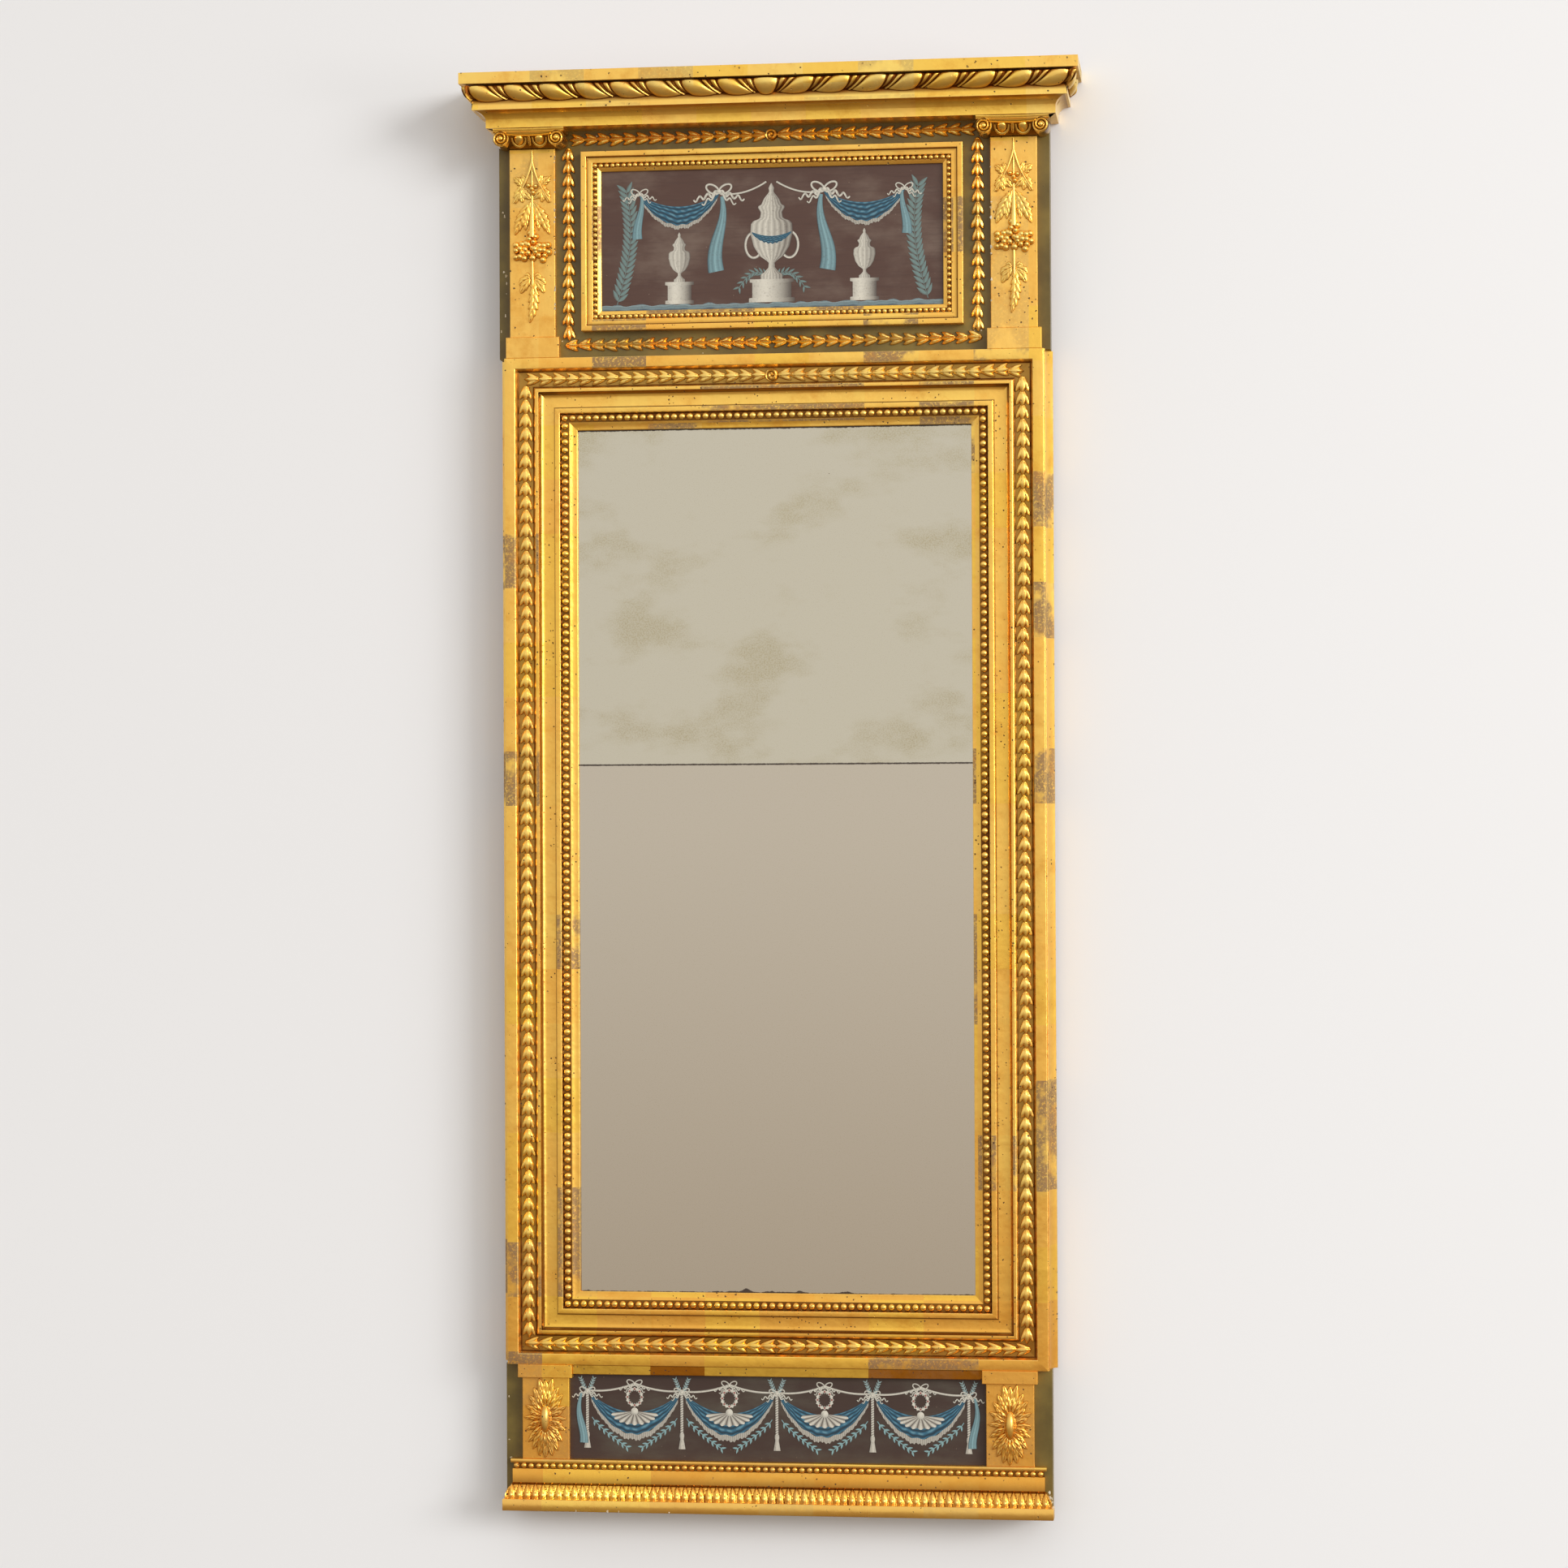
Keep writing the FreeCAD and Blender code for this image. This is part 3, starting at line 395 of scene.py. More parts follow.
class Shader:
    """The node tree of one material or world, and the nodes in it."""

    def __init__(self, owner: Any) -> None:
        """Empties the owner's tree."""
        self.owner = owner
        owner.use_nodes = True
        self.tree = owner.node_tree
        self.tree.nodes.clear()

    def node(self, kind: str, inputs: dict[int | str, Any] | None = None, **settings: Any) -> bpy.types.Node:
        """Adds a node.

        Args:
            kind: Its type.
            inputs: Values, or sockets to link, by input name or number.
            **settings: Its own settings, such as a Math node's operation.

        Returns:
            The node.
        """
        made = self.tree.nodes.new(kind)
        for name, setting in settings.items():
            setattr(made, name, setting)
        for name, given in (inputs or {}).items():
            socket = made.inputs[name]
            given = given.socket if isinstance(given, Value) else given
            if isinstance(given, Socket):
                self.tree.links.new(given, socket)
            elif isinstance(given, tuple) and len(given) == 3 and socket.type == "RGBA":
                socket.default_value = (*given, 1.0)
            else:
                socket.default_value = given
        return made

    def maths(self, operation: str, *inputs: Any) -> Value:
        """A Math node's result."""
        return Value(self, self.node("ShaderNodeMath", dict(enumerate(inputs)), operation=operation).outputs[0])

    def place(self, scale: Colour = (1.0, 1.0, 1.0), shift: Colour = (0.0, 0.0, 0.0)) -> Socket:
        """Object coordinates in metres, scaled and then shifted."""
        source = self.node("ShaderNodeTexCoord").outputs["Object"]
        inputs = {"Vector": source, "Scale": scale, "Location": shift}
        return self.node("ShaderNodeMapping", inputs, vector_type="POINT").outputs[0]

    @cached_property
    def here(self) -> Socket:
        """Object coordinates as they are."""
        return self.place()

    def noise(self, scale: float, detail: float = 3.0, rough: float = 0.55, where: Socket | None = None) -> Value:
        """Cloudy noise from 0 to 1, mostly near 0.5."""
        inputs = {"Vector": where or self.here, "Scale": scale, "Detail": detail, "Roughness": rough}
        return Value(self, self.node("ShaderNodeTexNoise", inputs).outputs[0])

    def wobbled(self, scale: float, amount: float) -> Socket:
        """Coordinates pushed about by noise, which makes round things ragged."""
        push = self.node("ShaderNodeTexNoise", {"Vector": self.here, "Scale": scale, "Detail": 2.0}).outputs[1]
        added = {0: push, 1: (amount,) * 3, 2: self.here}
        return self.node("ShaderNodeVectorMath", added, operation="MULTIPLY_ADD").outputs[0]

    def dots(self, scale: float, size: float, share: float, where: Socket | None = None) -> Value:
        """Scattered round dots: the cells of a Voronoi pattern whose random number is low enough.

        Args:
            scale: Cells in one metre.
            size: Radius of a dot as a share of a cell.
            share: Share of the cells that hold one.
            where: Coordinates, if not the object's own.

        Returns:
            1 in a dot, 0 outside.
        """
        cells = self.node("ShaderNodeTexVoronoi", {"Vector": where or self.here, "Scale": scale})
        chance = self.node("ShaderNodeSeparateColor", {0: cells.outputs["Color"]})
        picked = Value(self, chance.outputs[0]) < share
        spread = Value(self, chance.outputs[1]) * (size * 0.8) + size * 0.35
        return picked * (spread - Value(self, cells.outputs["Distance"])).rise(0.0, size * 0.25)

    def blend(self, factor: Value, low: Any, high: Any) -> Socket:
        """A colour between two others, by a factor."""
        return self.node("ShaderNodeMix", {"Factor": factor, 6: low, 7: high}, data_type="RGBA").outputs[2]

    def wood(self, stretch: Colour, light: Colour, dark: Colour) -> Socket:
        """Colour of plain wood whose grain is drawn out by the stretch."""
        return self.blend(self.noise(3.0, 4.0, where=self.place(stretch)), light, dark)

    def axis(self, where: Socket, number: int) -> Value:
        """One coordinate of a vector."""
        return Value(self, self.node("ShaderNodeSeparateXYZ", {0: where}).outputs[number])

    def facing(self, number: int) -> Value:
        """One coordinate of the surface's own normal."""
        return self.axis(self.node("ShaderNodeNewGeometry").outputs["Normal"], number)

    def relief(self) -> Value:
        """The relief that the mesh carries, which sets painted shade and highlight."""
        return Value(self, self.node("ShaderNodeAttribute", attribute_name="relief").outputs["Fac"])

    def finished(self, colour: Any, bump: Value | None = None, depth: float = 0.0005, **inputs: Any) -> Any:
        """Closes the tree with a Principled shader.

        Args:
            colour: Base colour.
            bump: Height for a Bump node.
            depth: That height's size in metres.
            **inputs: Other inputs of the shader, with _ for a space.

        Returns:
            The material.
        """
        given = {name.replace("_", " "): value for name, value in inputs.items()} | {"Base Color": colour}
        if bump is not None:
            height = {"Height": bump, "Distance": depth, "Strength": 1.0}
            given["Normal"] = self.node("ShaderNodeBump", height).outputs[0]
        surface = self.node("ShaderNodeBsdfPrincipled", given)
        self.node("ShaderNodeOutputMaterial", {"Surface": surface.outputs[0]})
        return self.owner


@dataclass(frozen=True)
class Finish:
    """A finish with its colours; dress() makes it up of nodes."""

    name: str

    def dress(self, s: Shader) -> Material:
        """Fills a shader's empty tree.

        Args:
            s: The shader.

        Returns:
            Its material.
        """
        raise NotImplementedError

    def material(self) -> Material:
        """A new material with this finish."""
        return self.dress(Shader(bpy.data.materials.new(self.name)))


@dataclass(frozen=True)
class Gilding(Finish):
    """Old gold leaf on gesso: laid in squares, worn on the crests, specked, with painted shade in the hollows and
    towards the bottom and a painted highlight on the crests.
    """

    bright: Colour = srgb(255, 214, 108)
    mellow: Colour = srgb(252, 186, 82)
    aged_and_shaded: Colour = srgb(220, 146, 46)
    hollow: Colour = srgb(96, 48, 8)
    dull: Colour = srgb(140, 110, 84)
    lemon: Colour = srgb(252, 208, 84)
    speck: Colour = srgb(58, 32, 16)
    crest: Colour = srgb(255, 226, 132)
    pine: Colour = srgb(176, 132, 84)
    pine_grain: Colour = srgb(120, 84, 50)
    leaf_size: float = 0.064
    specks: float = 0.34
    wear: float = 0.75
    roughness: float = 0.20
    carved: bool = False
    bare_top: bool = False

    def dress(self, s: Shader) -> Material:
        """Tones of leaf by square, painted shade towards the bottom, rubbed squares, painted shade with some grime and
        a painted highlight by relief, specks, bare wood behind.
        """
        leaf = s.place((1 / self.leaf_size,) * 3, (0.31, 0.17, 0.42))
        square = s.node("ShaderNodeVectorMath", {0: leaf}, operation="FLOOR").outputs[0]
        chance = s.node("ShaderNodeTexWhiteNoise", {"Vector": square}, noise_dimensions="3D")
        tone = Value(s, chance.outputs["Value"])
        soft, fine = s.noise(9.0, 4.0), s.noise(160.0)
        streak = s.noise(8.0, where=s.place((30.0, 30.0, 4.0)))
        warmth = (tone * 0.45 + soft * 0.9 + fine * 0.25 - 0.30).rise(0.0, 1.0)
        colour = s.blend(warmth, self.mellow, self.bright)
        # Painted shade: the gold turns darker and more orange towards the bottom, where less light falls.
        colour = s.blend(s.axis(s.here, 2).rise(-1.05, -1.60) * 0.62, colour, self.aged_and_shaded)
        colour = s.blend((tone < 0.22) * 0.55, colour, self.lemon)
        rubbed = (tone > 0.80) * s.noise(330.0, 4.0, 0.7).rise(0.30, 0.52) * self.wear
        rubbed = rubbed * s.noise(28.0).rise(0.36, 0.50)
        if self.carved:
            rubbed = rubbed * s.relief().rise(0.475, 0.495)
        colour = s.blend(rubbed, colour, self.dull)
        colour = s.blend(s.noise(30.0, 6.0, 0.72).rise(0.48, 0.72) * 0.42, colour, self.aged_and_shaded)
        if self.carved:
            raised = s.relief()
            # Painted shade, with some grime, in the hollows: the lower the relief, the darker the gold.
            colour = s.blend(raised.rise(0.48, 0.0) * (0.72 + 0.5 * soft), colour, self.hollow)
            # Painted highlight on the crests.
            colour = s.blend(raised.rise(0.62, 1.0) * 0.5, colour, self.crest)
        ragged = s.wobbled(420.0, 0.0022)
        specks = s.dots(95.0, 0.11, self.specks, ragged) * s.noise(17.0).rise(0.42, 0.52)
        pits = s.dots(230.0, 0.24, self.specks * 1.2, ragged) * s.noise(24.0).rise(0.44, 0.54)
        marks = s.maths("MAXIMUM", specks, pits)
        colour = s.blend(marks * 0.9, colour, self.speck)
        bare, grain = s.facing(1).rise(0.6, 0.9), (60.0, 60.0, 3.0)
        if self.bare_top:
            bare, grain = s.maths("MAXIMUM", bare, s.facing(2).rise(0.8, 0.9)), (3.0, 60.0, 60.0)
        colour = s.blend(bare, colour, s.wood(grain, self.pine, self.pine_grain))
        covered = s.maths("MAXIMUM", marks, bare)
        rough = self.roughness + 0.20 * soft + 0.16 * rubbed + 0.06 * tone
        return s.finished(
            colour,
            fine * 0.30 + s.noise(52.0, 2.0) * 0.9 + streak * 0.2 - marks * 0.8,
            0.0006,
            Metallic=(1.0 - covered) * (0.90 - 0.35 * rubbed),
            Roughness=s.maths("MAXIMUM", rough, covered * 0.7),
        )


@dataclass(frozen=True)
class Paint(Finish):
    """Olive green panel paint, a little glossy, with chips to the white gesso and dirt."""

    light: Colour = srgb(128, 108, 44)
    dark: Colour = srgb(88, 72, 24)
    chip: Colour = srgb(222, 208, 176)
    dirt: Colour = srgb(40, 30, 14)
    pine: Colour = srgb(168, 124, 78)
    pine_grain: Colour = srgb(112, 78, 46)

    def dress(self, s: Shader) -> Material:
        """Cloudy paint, flecks of gesso, grime, and bare wood behind."""
        cloud = s.noise(14.0, 5.0)
        colour = s.blend(cloud.rise(0.30, 0.72), self.dark, self.light)
        flecks = s.dots(120.0, 0.11, 0.14) * s.noise(7.0).rise(0.48, 0.62)
        colour = s.blend(flecks, colour, self.chip)
        colour = s.blend(s.dots(70.0, 0.07, 0.25) * 0.8, colour, self.dirt)
        bare = s.facing(1).rise(0.6, 0.9)
        colour = s.blend(bare, colour, s.wood((60.0, 60.0, 3.0), self.pine, self.pine_grain))
        bump = cloud * 0.5 + s.noise(90.0) * 0.5 - flecks
        return s.finished(colour, bump, 0.0003, Roughness=0.34 + 0.2 * cloud + 0.25 * bare)


@dataclass(frozen=True)
class MirrorGlass(Finish):
    """Old silvering behind glass: foxing in the upper plate and lost silver along the edges; the band along the top
    edge is also painted shadow under the frame.
    """

    silver: Colour = srgb(205, 197, 178)
    fox: Colour = srgb(184, 172, 138)
    star: Colour = srgb(120, 104, 84)
    dark: Colour = srgb(58, 44, 34)
    joint_height: float = -0.7474
    top_height: float = -0.3535
    bottom_height: float = -1.3648
    foxed: bool = True

    def dress(self, s: Shader) -> Material:
        """Foxing in clouds of fine grain, a few dark stars, and ragged loss at the joint and edges; the top edge's band
        is partly painted shadow.
        """
        height = s.axis(s.here, 2)
        area = s.noise(6.0, 4.0, 0.6, s.place((1.0, 1.0, 1.8), (0.12, 0.0, 0.36)))
        reach = area.rise(0.47, 0.64) if self.foxed else area.rise(0.72, 1.0)
        foxing = reach * (0.30 + 0.62 * s.noise(560.0, 4.0, 0.8).rise(0.46, 0.58)) * 0.85
        colour = s.blend(foxing, self.silver, self.fox)
        colour = s.blend(s.noise(900.0, 2.0).rise(0.60, 0.72) * 0.30, colour, self.fox)
        colour = s.blend(s.dots(62.0, 0.035, 0.10), colour, self.star)
        ragged = s.noise(240.0, 4.0, 0.7) - 0.5
        joint = ((height - self.joint_height).magnitude() + ragged * 0.0016).rise(0.0013, 0.0006)
        creep = s.noise(16.0, 4.0, where=s.place((1.0, 1.0, 0.4))).rise(0.52, 0.78) * 0.0075 + 0.0007
        low = creep - (height - self.bottom_height) + ragged * 0.003
        # Along the top edge a dark band a few millimetres wide: lost silver and a painted shadow under the frame.
        high = creep * 0.4 + 0.0014 - (self.top_height - height) + ragged * 0.003
        lost = s.maths("MAXIMUM", joint, s.maths("MAXIMUM", low, high).rise(0.0, 0.0006))
        return s.finished(
            s.blend(lost, colour, self.dark),
            Metallic=1.0 - lost * 0.85,
            Roughness=0.07 + foxing * 0.25 + lost * 0.3,
            Coat_Weight=lost * 0.4,
        )


@dataclass(frozen=True)
class Timber(Finish):
    """Bare planed pine, darkened with age, its grain along one direction."""

    stretch: Colour = (40.0, 40.0, 2.4)
    light: Colour = srgb(184, 140, 90)
    dark: Colour = srgb(116, 78, 44)
    knot: Colour = srgb(74, 42, 22)
    dust: Colour = srgb(96, 82, 66)

    def dress(self, s: Shader) -> Material:
        """Grain and pores along the board, a few knots, and dust in clouds."""
        along = s.place(self.stretch)
        grain, pores = s.noise(2.6, 6.0, 0.62, along), s.noise(22.0, where=along)
        colour = s.blend((grain * 0.8 + pores * 0.2).rise(0.34, 0.66), self.light, self.dark)
        knots = s.dots(7.0, 0.13, 0.25, s.place((1.0, 1.0, 0.55)))
        colour = s.blend(knots * 0.7, colour, self.knot)
        colour = s.blend(s.noise(6.0, 4.0).rise(0.55, 0.8) * 0.5, colour, self.dust)
        return s.finished(colour, grain * 0.5 + pores * 0.5, 0.0005, Roughness=0.62 + 0.2 * grain)


@dataclass(frozen=True)
class Iron(Finish):
    """Forged iron, dark, with a bloom of rust."""

    metal: Colour = srgb(66, 62, 58)
    rust: Colour = srgb(98, 58, 36)

    def dress(self, s: Shader) -> Material:
        """Rust in patches, rougher and less metallic."""
        rust = s.noise(120.0, 5.0, 0.65).rise(0.48, 0.66)
        colour = s.blend(rust, self.metal, self.rust)
        return s.finished(colour, s.noise(300.0), 0.0004, Metallic=0.85 - 0.6 * rust, Roughness=0.45 + 0.35 * rust)


@dataclass(frozen=True)
class PictureGround(Finish):
    """Dark brown painted ground with a dusty bloom and faint horizontal brushing."""

    ground: Colour = srgb(82, 56, 46)
    bloom: Colour = srgb(122, 104, 92)
    brushed: Colour = srgb(60, 38, 34)
    fleck: Colour = srgb(150, 128, 112)

    def dress(self, s: Shader) -> Material:
        """Dust in clouds, brush marks and flecks."""
        dust = s.noise(12.0, 5.0, where=s.place((1.0, 1.0, 2.0)))
        brush = s.noise(4.0, where=s.place((6.0, 1.0, 80.0)))
        colour = s.blend(dust.rise(0.42, 0.80) * 0.8, self.ground, self.bloom)
        colour = s.blend(brush.rise(0.45, 0.75) * 0.25, colour, self.brushed)
        colour = s.blend(s.dots(220.0, 0.09, 0.10), colour, self.fleck)
        return s.finished(colour, brush, 0.0001, Roughness=0.46 + 0.15 * dust)


@dataclass(frozen=True)
class PictureColours(Finish):
    """Body colour of the painted ornament: the mesh carries each stroke's tint."""

    worn: Colour = srgb(84, 66, 60)

    def dress(self, s: Shader) -> Material:
        """The tint, worn away in streaks."""
        tint = s.node("ShaderNodeAttribute", attribute_name="tint").outputs["Color"]
        streaks = s.noise(420.0, 4.0, 0.7)
        colour = s.blend(streaks.rise(0.50, 0.78) * 0.45, tint, self.worn)
        return s.finished(colour, streaks, 0.0001, Roughness=0.5 + 0.12 * streaks)


@dataclass(frozen=True)
class Gesso(Finish):
    """Chalk ground laid bare: matt white, yellowed in places."""

    white: Colour = srgb(226, 216, 194)
    yellowed: Colour = srgb(184, 162, 124)

    def dress(self, s: Shader) -> Material:
        """Two tones in fine clouds."""
        cloud = s.noise(300.0)
        colour = s.blend(cloud.rise(0.4, 0.6), self.white, self.yellowed)
        return s.finished(colour, cloud, 0.0002, Roughness=0.75 + 0.1 * cloud)


# ---- Mouldings and carved bands -------------------------------------------------------------


class Side(Enum):
    """Where a piece lies round an opening: a turn anticlockwise from the top."""

    TOP = 0
    LEFT = 1
    BOTTOM = 2
    RIGHT = 3


@dataclass
class Carving:
    """Gilded work that stands for CAD nodes."""

    def pieces(self) -> dict[str, tuple[str, Form]]:
        """Its pieces.

        Returns:
            By each piece's name, the CAD node that it stands for and its form.
        """
        raise NotImplementedError

    def build(self, material: Material) -> None:
        """Makes the pieces.

        Args:
            material: Their finish.
        """
        for name, (node, form) in self.pieces().items():
            make_piece(name, form, material, (node,))


@dataclass
class Surround(Carving):
    """Four pieces round a rectangle, which is given by half its width and its two heights."""

    prefix: str
    half_width: float
    bottom: float
    top: float
    nodes: dict[Side, str]

    def runs(self) -> dict[Side, Form]:
        """A form for each side."""
        raise NotImplementedError

    def pieces(self) -> dict[str, tuple[str, Form]]:
        """See Carving."""
        return {f"{self.prefix}_{side.name.lower()}": (self.nodes[side], form) for side, form in self.runs().items()}


# The glazed frame's section, as (distance inward from the outer edge, depth from the wall), with
# its cavetto and its sight edge as true curves; and the section of the upper picture's frame.
FRAME_SECTION = np.concatenate(
    [
        [(0, 10), (0, 48), (12.5, 48), (13.4, 46.2), (15.5, 42), (34, 42), (36.5, 45.2), (40, 45.2)],
        arc((40, 44.4), (47.2, 37.2), -7.2, 12),
        arc((47.2, 37.2), (58.5, 37.4), -90.0, 6),
        [(58.5, 37.4), (59.2, 43), (65, 43), (66, 38.5), (75.5, 38.5)],
        arc((76.0, 38.4), (85, 36), -20.0, 5),
        [(85, 36), (85, 32), (76, 32), (76, 10)],
    ]
)
PICTURE_SECTION = np.array(
    [
        (0, 36), (0, 50), (6, 50), (6.8, 47.4), (13.4, 47.4), (14.1, 45.6),
        (19.1, 45.6), (23.4, 43.5), (23.4, 40.9), (18.4, 40.9), (18.4, 36),
    ]
)  # fmt: skip


@dataclass
class FrameRun(Surround):
    """Four mitred members round an opening, all with one section.

    A shaded channel is a stretch of the section, from one inward distance to another, and the relief
    that its floor has at most, which paints shade on that floor.
    """

    section: Array
    easing: float = 0.7
    stations: int = 48
    shaded_channels: tuple[Colour, ...] = ()

    def member(self, side: Side) -> Form:
        """One member.

        Along it, each point of the section runs between the two mitres: at share t of the way the
        point with inward distance u lies at t times (half the outer length less u).

        Args:
            side: Which member.

        Returns:
            The form.
        """
        outline, relief = eased(self.section, self.easing)
        inward, depth = outline.T
        # Painted shade on the floors of the shaded channels.
        for start, end, tone in self.shaded_channels:
            inside = (inward > start) & (inward < end) & (depth > FRAME_FRONT)
            relief = np.where(inside, np.minimum(relief, tone), relief)
        upright = side in (Side.LEFT, Side.RIGHT)
        half_height, middle = (self.top - self.bottom) / 2.0, (self.top + self.bottom) / 2.0
        half_run, edge = (half_height, self.half_width) if upright else (self.half_width, half_height)
        along = column(self.stations, -1.0, 1.0) * (half_run - inward)
        outward = (edge - inward) * (1.0 if side in (Side.TOP, Side.RIGHT) else -1.0)
        if upright:
            return loft(points_of(outward, depth, middle + along), relief)
        return loft(points_of(along, depth, middle + outward), relief)

    def runs(self) -> dict[Side, Form]:
        """See Surround."""
        return {side: self.member(side) for side in Side}


@dataclass
class HuskChain(Surround):
    """Bellflower husks round a rectangle, from a small flower at the top middle down both sides.

    They open outwards along the top, down the sides and inwards along the bottom, where the last
    tips meet.
    """

    depth: float
    pitch: float
    width: float
    height: float
    top_half: float | None = None
    side_top: float | None = None
    seed: int = 1

    def petal(self, foot: float, tip: Spot, width: float, crest: float, lift: float) -> Form:
        """One pointed petal: half-round sections along a bent middle line.

        Half the width follows a sine that starts some way in, so that the petal is widest before
        its middle; the crest follows a flatter sine and ends at the tip's lift.

        Args:
            foot: Sideways place of its start.
            tip: Where it ends, along and sideways.
            width: Greatest width.
            crest: Height of its back.
            lift: Height of its tip.

        Returns:
            The form, drawn along +across from its foot.
        """
        way, angle = column(7), np.linspace(0.0, math.pi, 5)
        middle = foot + (tip[1] - foot) * way**1.7
        half = width / 2.0 * np.sin(math.pi * (0.16 + 0.84 * way) ** 1.15) ** 0.65
        rise = crest * (0.55 + 0.45 * np.sin(math.pi * way)) * (1 - way**3) + lift * way**3
        # Tone, the relief: painted shade at the petal's edges and foot, a painted highlight along its back.
        tone = 0.02 + 0.98 * np.sin(angle) ** 1.3 * (0.45 + 0.55 * np.sin(math.pi * way**0.8)) + 0.12 * way
        sections = points_of(way * tip[0], rise * np.sin(angle) ** 0.8, middle + half * np.cos(angle))
        return loft(sections, np.clip(tone, 0, 1), (False, True))

    def husk(self) -> Form:
        """A husk of three petals, the middle one on top."""
        reach, half, high = self.pitch, self.width / 2.0, self.height
        outer = [
            self.petal(1.2 * side, (reach * 0.98, half * side), self.width * 0.52, high * 0.78, high * 0.66)
            for side in (1.0, -1.0)
        ]
        middle = self.petal(0.0, (reach * 1.14, 0.0), self.width * 0.54, high, high * 0.72)
        bulb = dome((0.6, 0.0), (2.2, self.width * 0.19), high * 0.62, -0.1, 4)
        # A fainter painted highlight and more painted shade on the bulb.
        bulb.relief *= 0.55
        return joined([*outer, middle, bulb])

    def flower(self) -> Form:
        """The small whorled flower: a disc whose ridge winds round like a snail."""
        ring, angle = column(9), circle(24)
        wide = ring * self.width * 0.56
        winding = 0.5 + 0.5 * np.cos(TURN * (ring * 1.6 - angle / TURN))
        up = self.height * (0.55 + 0.5 * winding) * half_round(ring**3)
        up[-1] = 0.0
        # Painted shade in the spiral's groove, a painted highlight on its ridge.
        return loft(points_of(wide * np.cos(angle), up, wide * np.sin(angle)), winding * 0.9, (True, False))

    def run(self, start: Spot, end: Spot, rng: np.random.Generator) -> Form:
        """Husks in a straight line.

        Args:
            start: Across and height of the first husk's foot.
            end: Across and height of the last husk's tip.
            rng: Source of the small differences of hand work.

        Returns:
            The form.
        """
        first, last = np.array(start, float), np.array(end, float)
        length = float(np.hypot(*(last - first)))
        count = max(1, round(length / self.pitch))
        step = (last - first) / count
        spots = first + np.arange(count)[:, None] * step + rng.normal(0.0, 0.18, (count, 2))
        spots = points_of(spots[:, 0], self.depth - 0.15, spots[:, 1])
        angles = math.atan2(step[1], step[0]) + rng.normal(0.0, 0.035, count)
        scales = (length / count / self.pitch) * (1.0 + rng.normal(0.0, 0.025, count))
        return repeated(self.husk(), spots, angles, scales)

    def runs(self) -> dict[Side, Form]:
        """See Surround."""
        rng = np.random.default_rng(self.seed)
        wide, gap, low, top = self.half_width, self.width * 0.55, self.bottom, self.top
        top_half, side_top = self.top_half or wide, (self.side_top or top) - gap
        lines = {
            Side.TOP: [((-gap, top), (-top_half, top)), ((gap, top), (top_half, top))],
            Side.LEFT: [((-wide, side_top), (-wide, low + gap))],
            Side.RIGHT: [((wide, side_top), (wide, low + gap))],
            Side.BOTTOM: [((-wide - gap * 0.4, low), (-1.0, low)), ((wide + gap * 0.4, low), (1.0, low))],
        }
        forms = {side: [self.run(start, end, rng) for start, end in ends] for side, ends in lines.items()}
        forms[Side.TOP].insert(0, self.flower().moved(0.0, self.depth, top))
        return {side: joined(parts) for side, parts in forms.items()}


@dataclass
class BeadRow:
    """Pearls in a straight line, each a dome on a short neck."""

    diameter: float
    pitch: float
    seed: int = 3

    def pearl(self) -> Form:
        """One pearl: rings of a sphere from its crown to a little below its widest ring."""
        turn = np.radians([0.0, 24.0, 48.0, 70.0, 92.0, 100.0])[:, None]
        angle, radius = circle(12), self.diameter / 2.0
        wide, up = radius * np.sin(turn), radius * (0.90 * np.cos(turn) + 0.08)
        up[-1] = -0.2
        # Painted highlight on the crown, fading to painted shade at the foot where the pearl meets its ground.
        tone = np.array([1.0, 0.85, 0.62, 0.36, 0.1, 0.02])[:, None]
        return loft(points_of(wide * np.cos(angle), up, wide * np.sin(angle)), tone, (True, False))

    def run(self, start: Spot, end: Spot, depth: float) -> Form:
        """Pearls from one point to another.

        Args:
            start: Across and height of the first pearl.
            end: Across and height of the last one.
            depth: Depth of the ground they stand on.

        Returns:
            The form.
        """
        rng = np.random.default_rng(self.seed + int(abs(start[0]) + abs(end[1])))
        first, last = np.array(start, float), np.array(end, float)
        count = round(float(np.hypot(*(last - first))) / self.pitch) + 1
        spots = first + column(count) * (last - first) + rng.normal(0, 0.12, (count, 2))
        spots = points_of(spots[:, 0], depth, spots[:, 1])
        return repeated(self.pearl(), spots, rng.uniform(0, TURN, count), 1 + rng.normal(0, 0.02, count))


@dataclass
class BeadFrame(Surround):
    """Bead rows along the middle line of a rectangle; the rails take the corners."""

    beads: BeadRow
    depth: float

    def runs(self) -> dict[Side, Form]:
        """See Surround."""
        wide, low, top, gap = self.half_width, self.bottom, self.top, self.beads.pitch
        lines = {
            Side.TOP: ((-wide, top), (wide, top)),
            Side.BOTTOM: ((-wide, low), (wide, low)),
            Side.LEFT: ((-wide, top - gap), (-wide, low + gap)),
            Side.RIGHT: ((wide, top - gap), (wide, low + gap)),
        }
        return {side: self.beads.run(start, end, self.depth) for side, (start, end) in lines.items()}


def banded(before: Any, band: Array, after: Any) -> tuple[Array, Array]:
    """Puts together an outline with one carved band in it.

    Args:
        before: Points before the band.
        band: Its points.
        after: Points after it.

    Returns:
        All points, and each one's share of the band's height, or -1 outside it.
    """
    share = np.full(len(before) + len(band) + len(after), -1.0)
    share[len(before) : len(before) + len(band)] = np.linspace(0.0, 1.0, len(band))
    return np.concatenate([before, band, after]), share


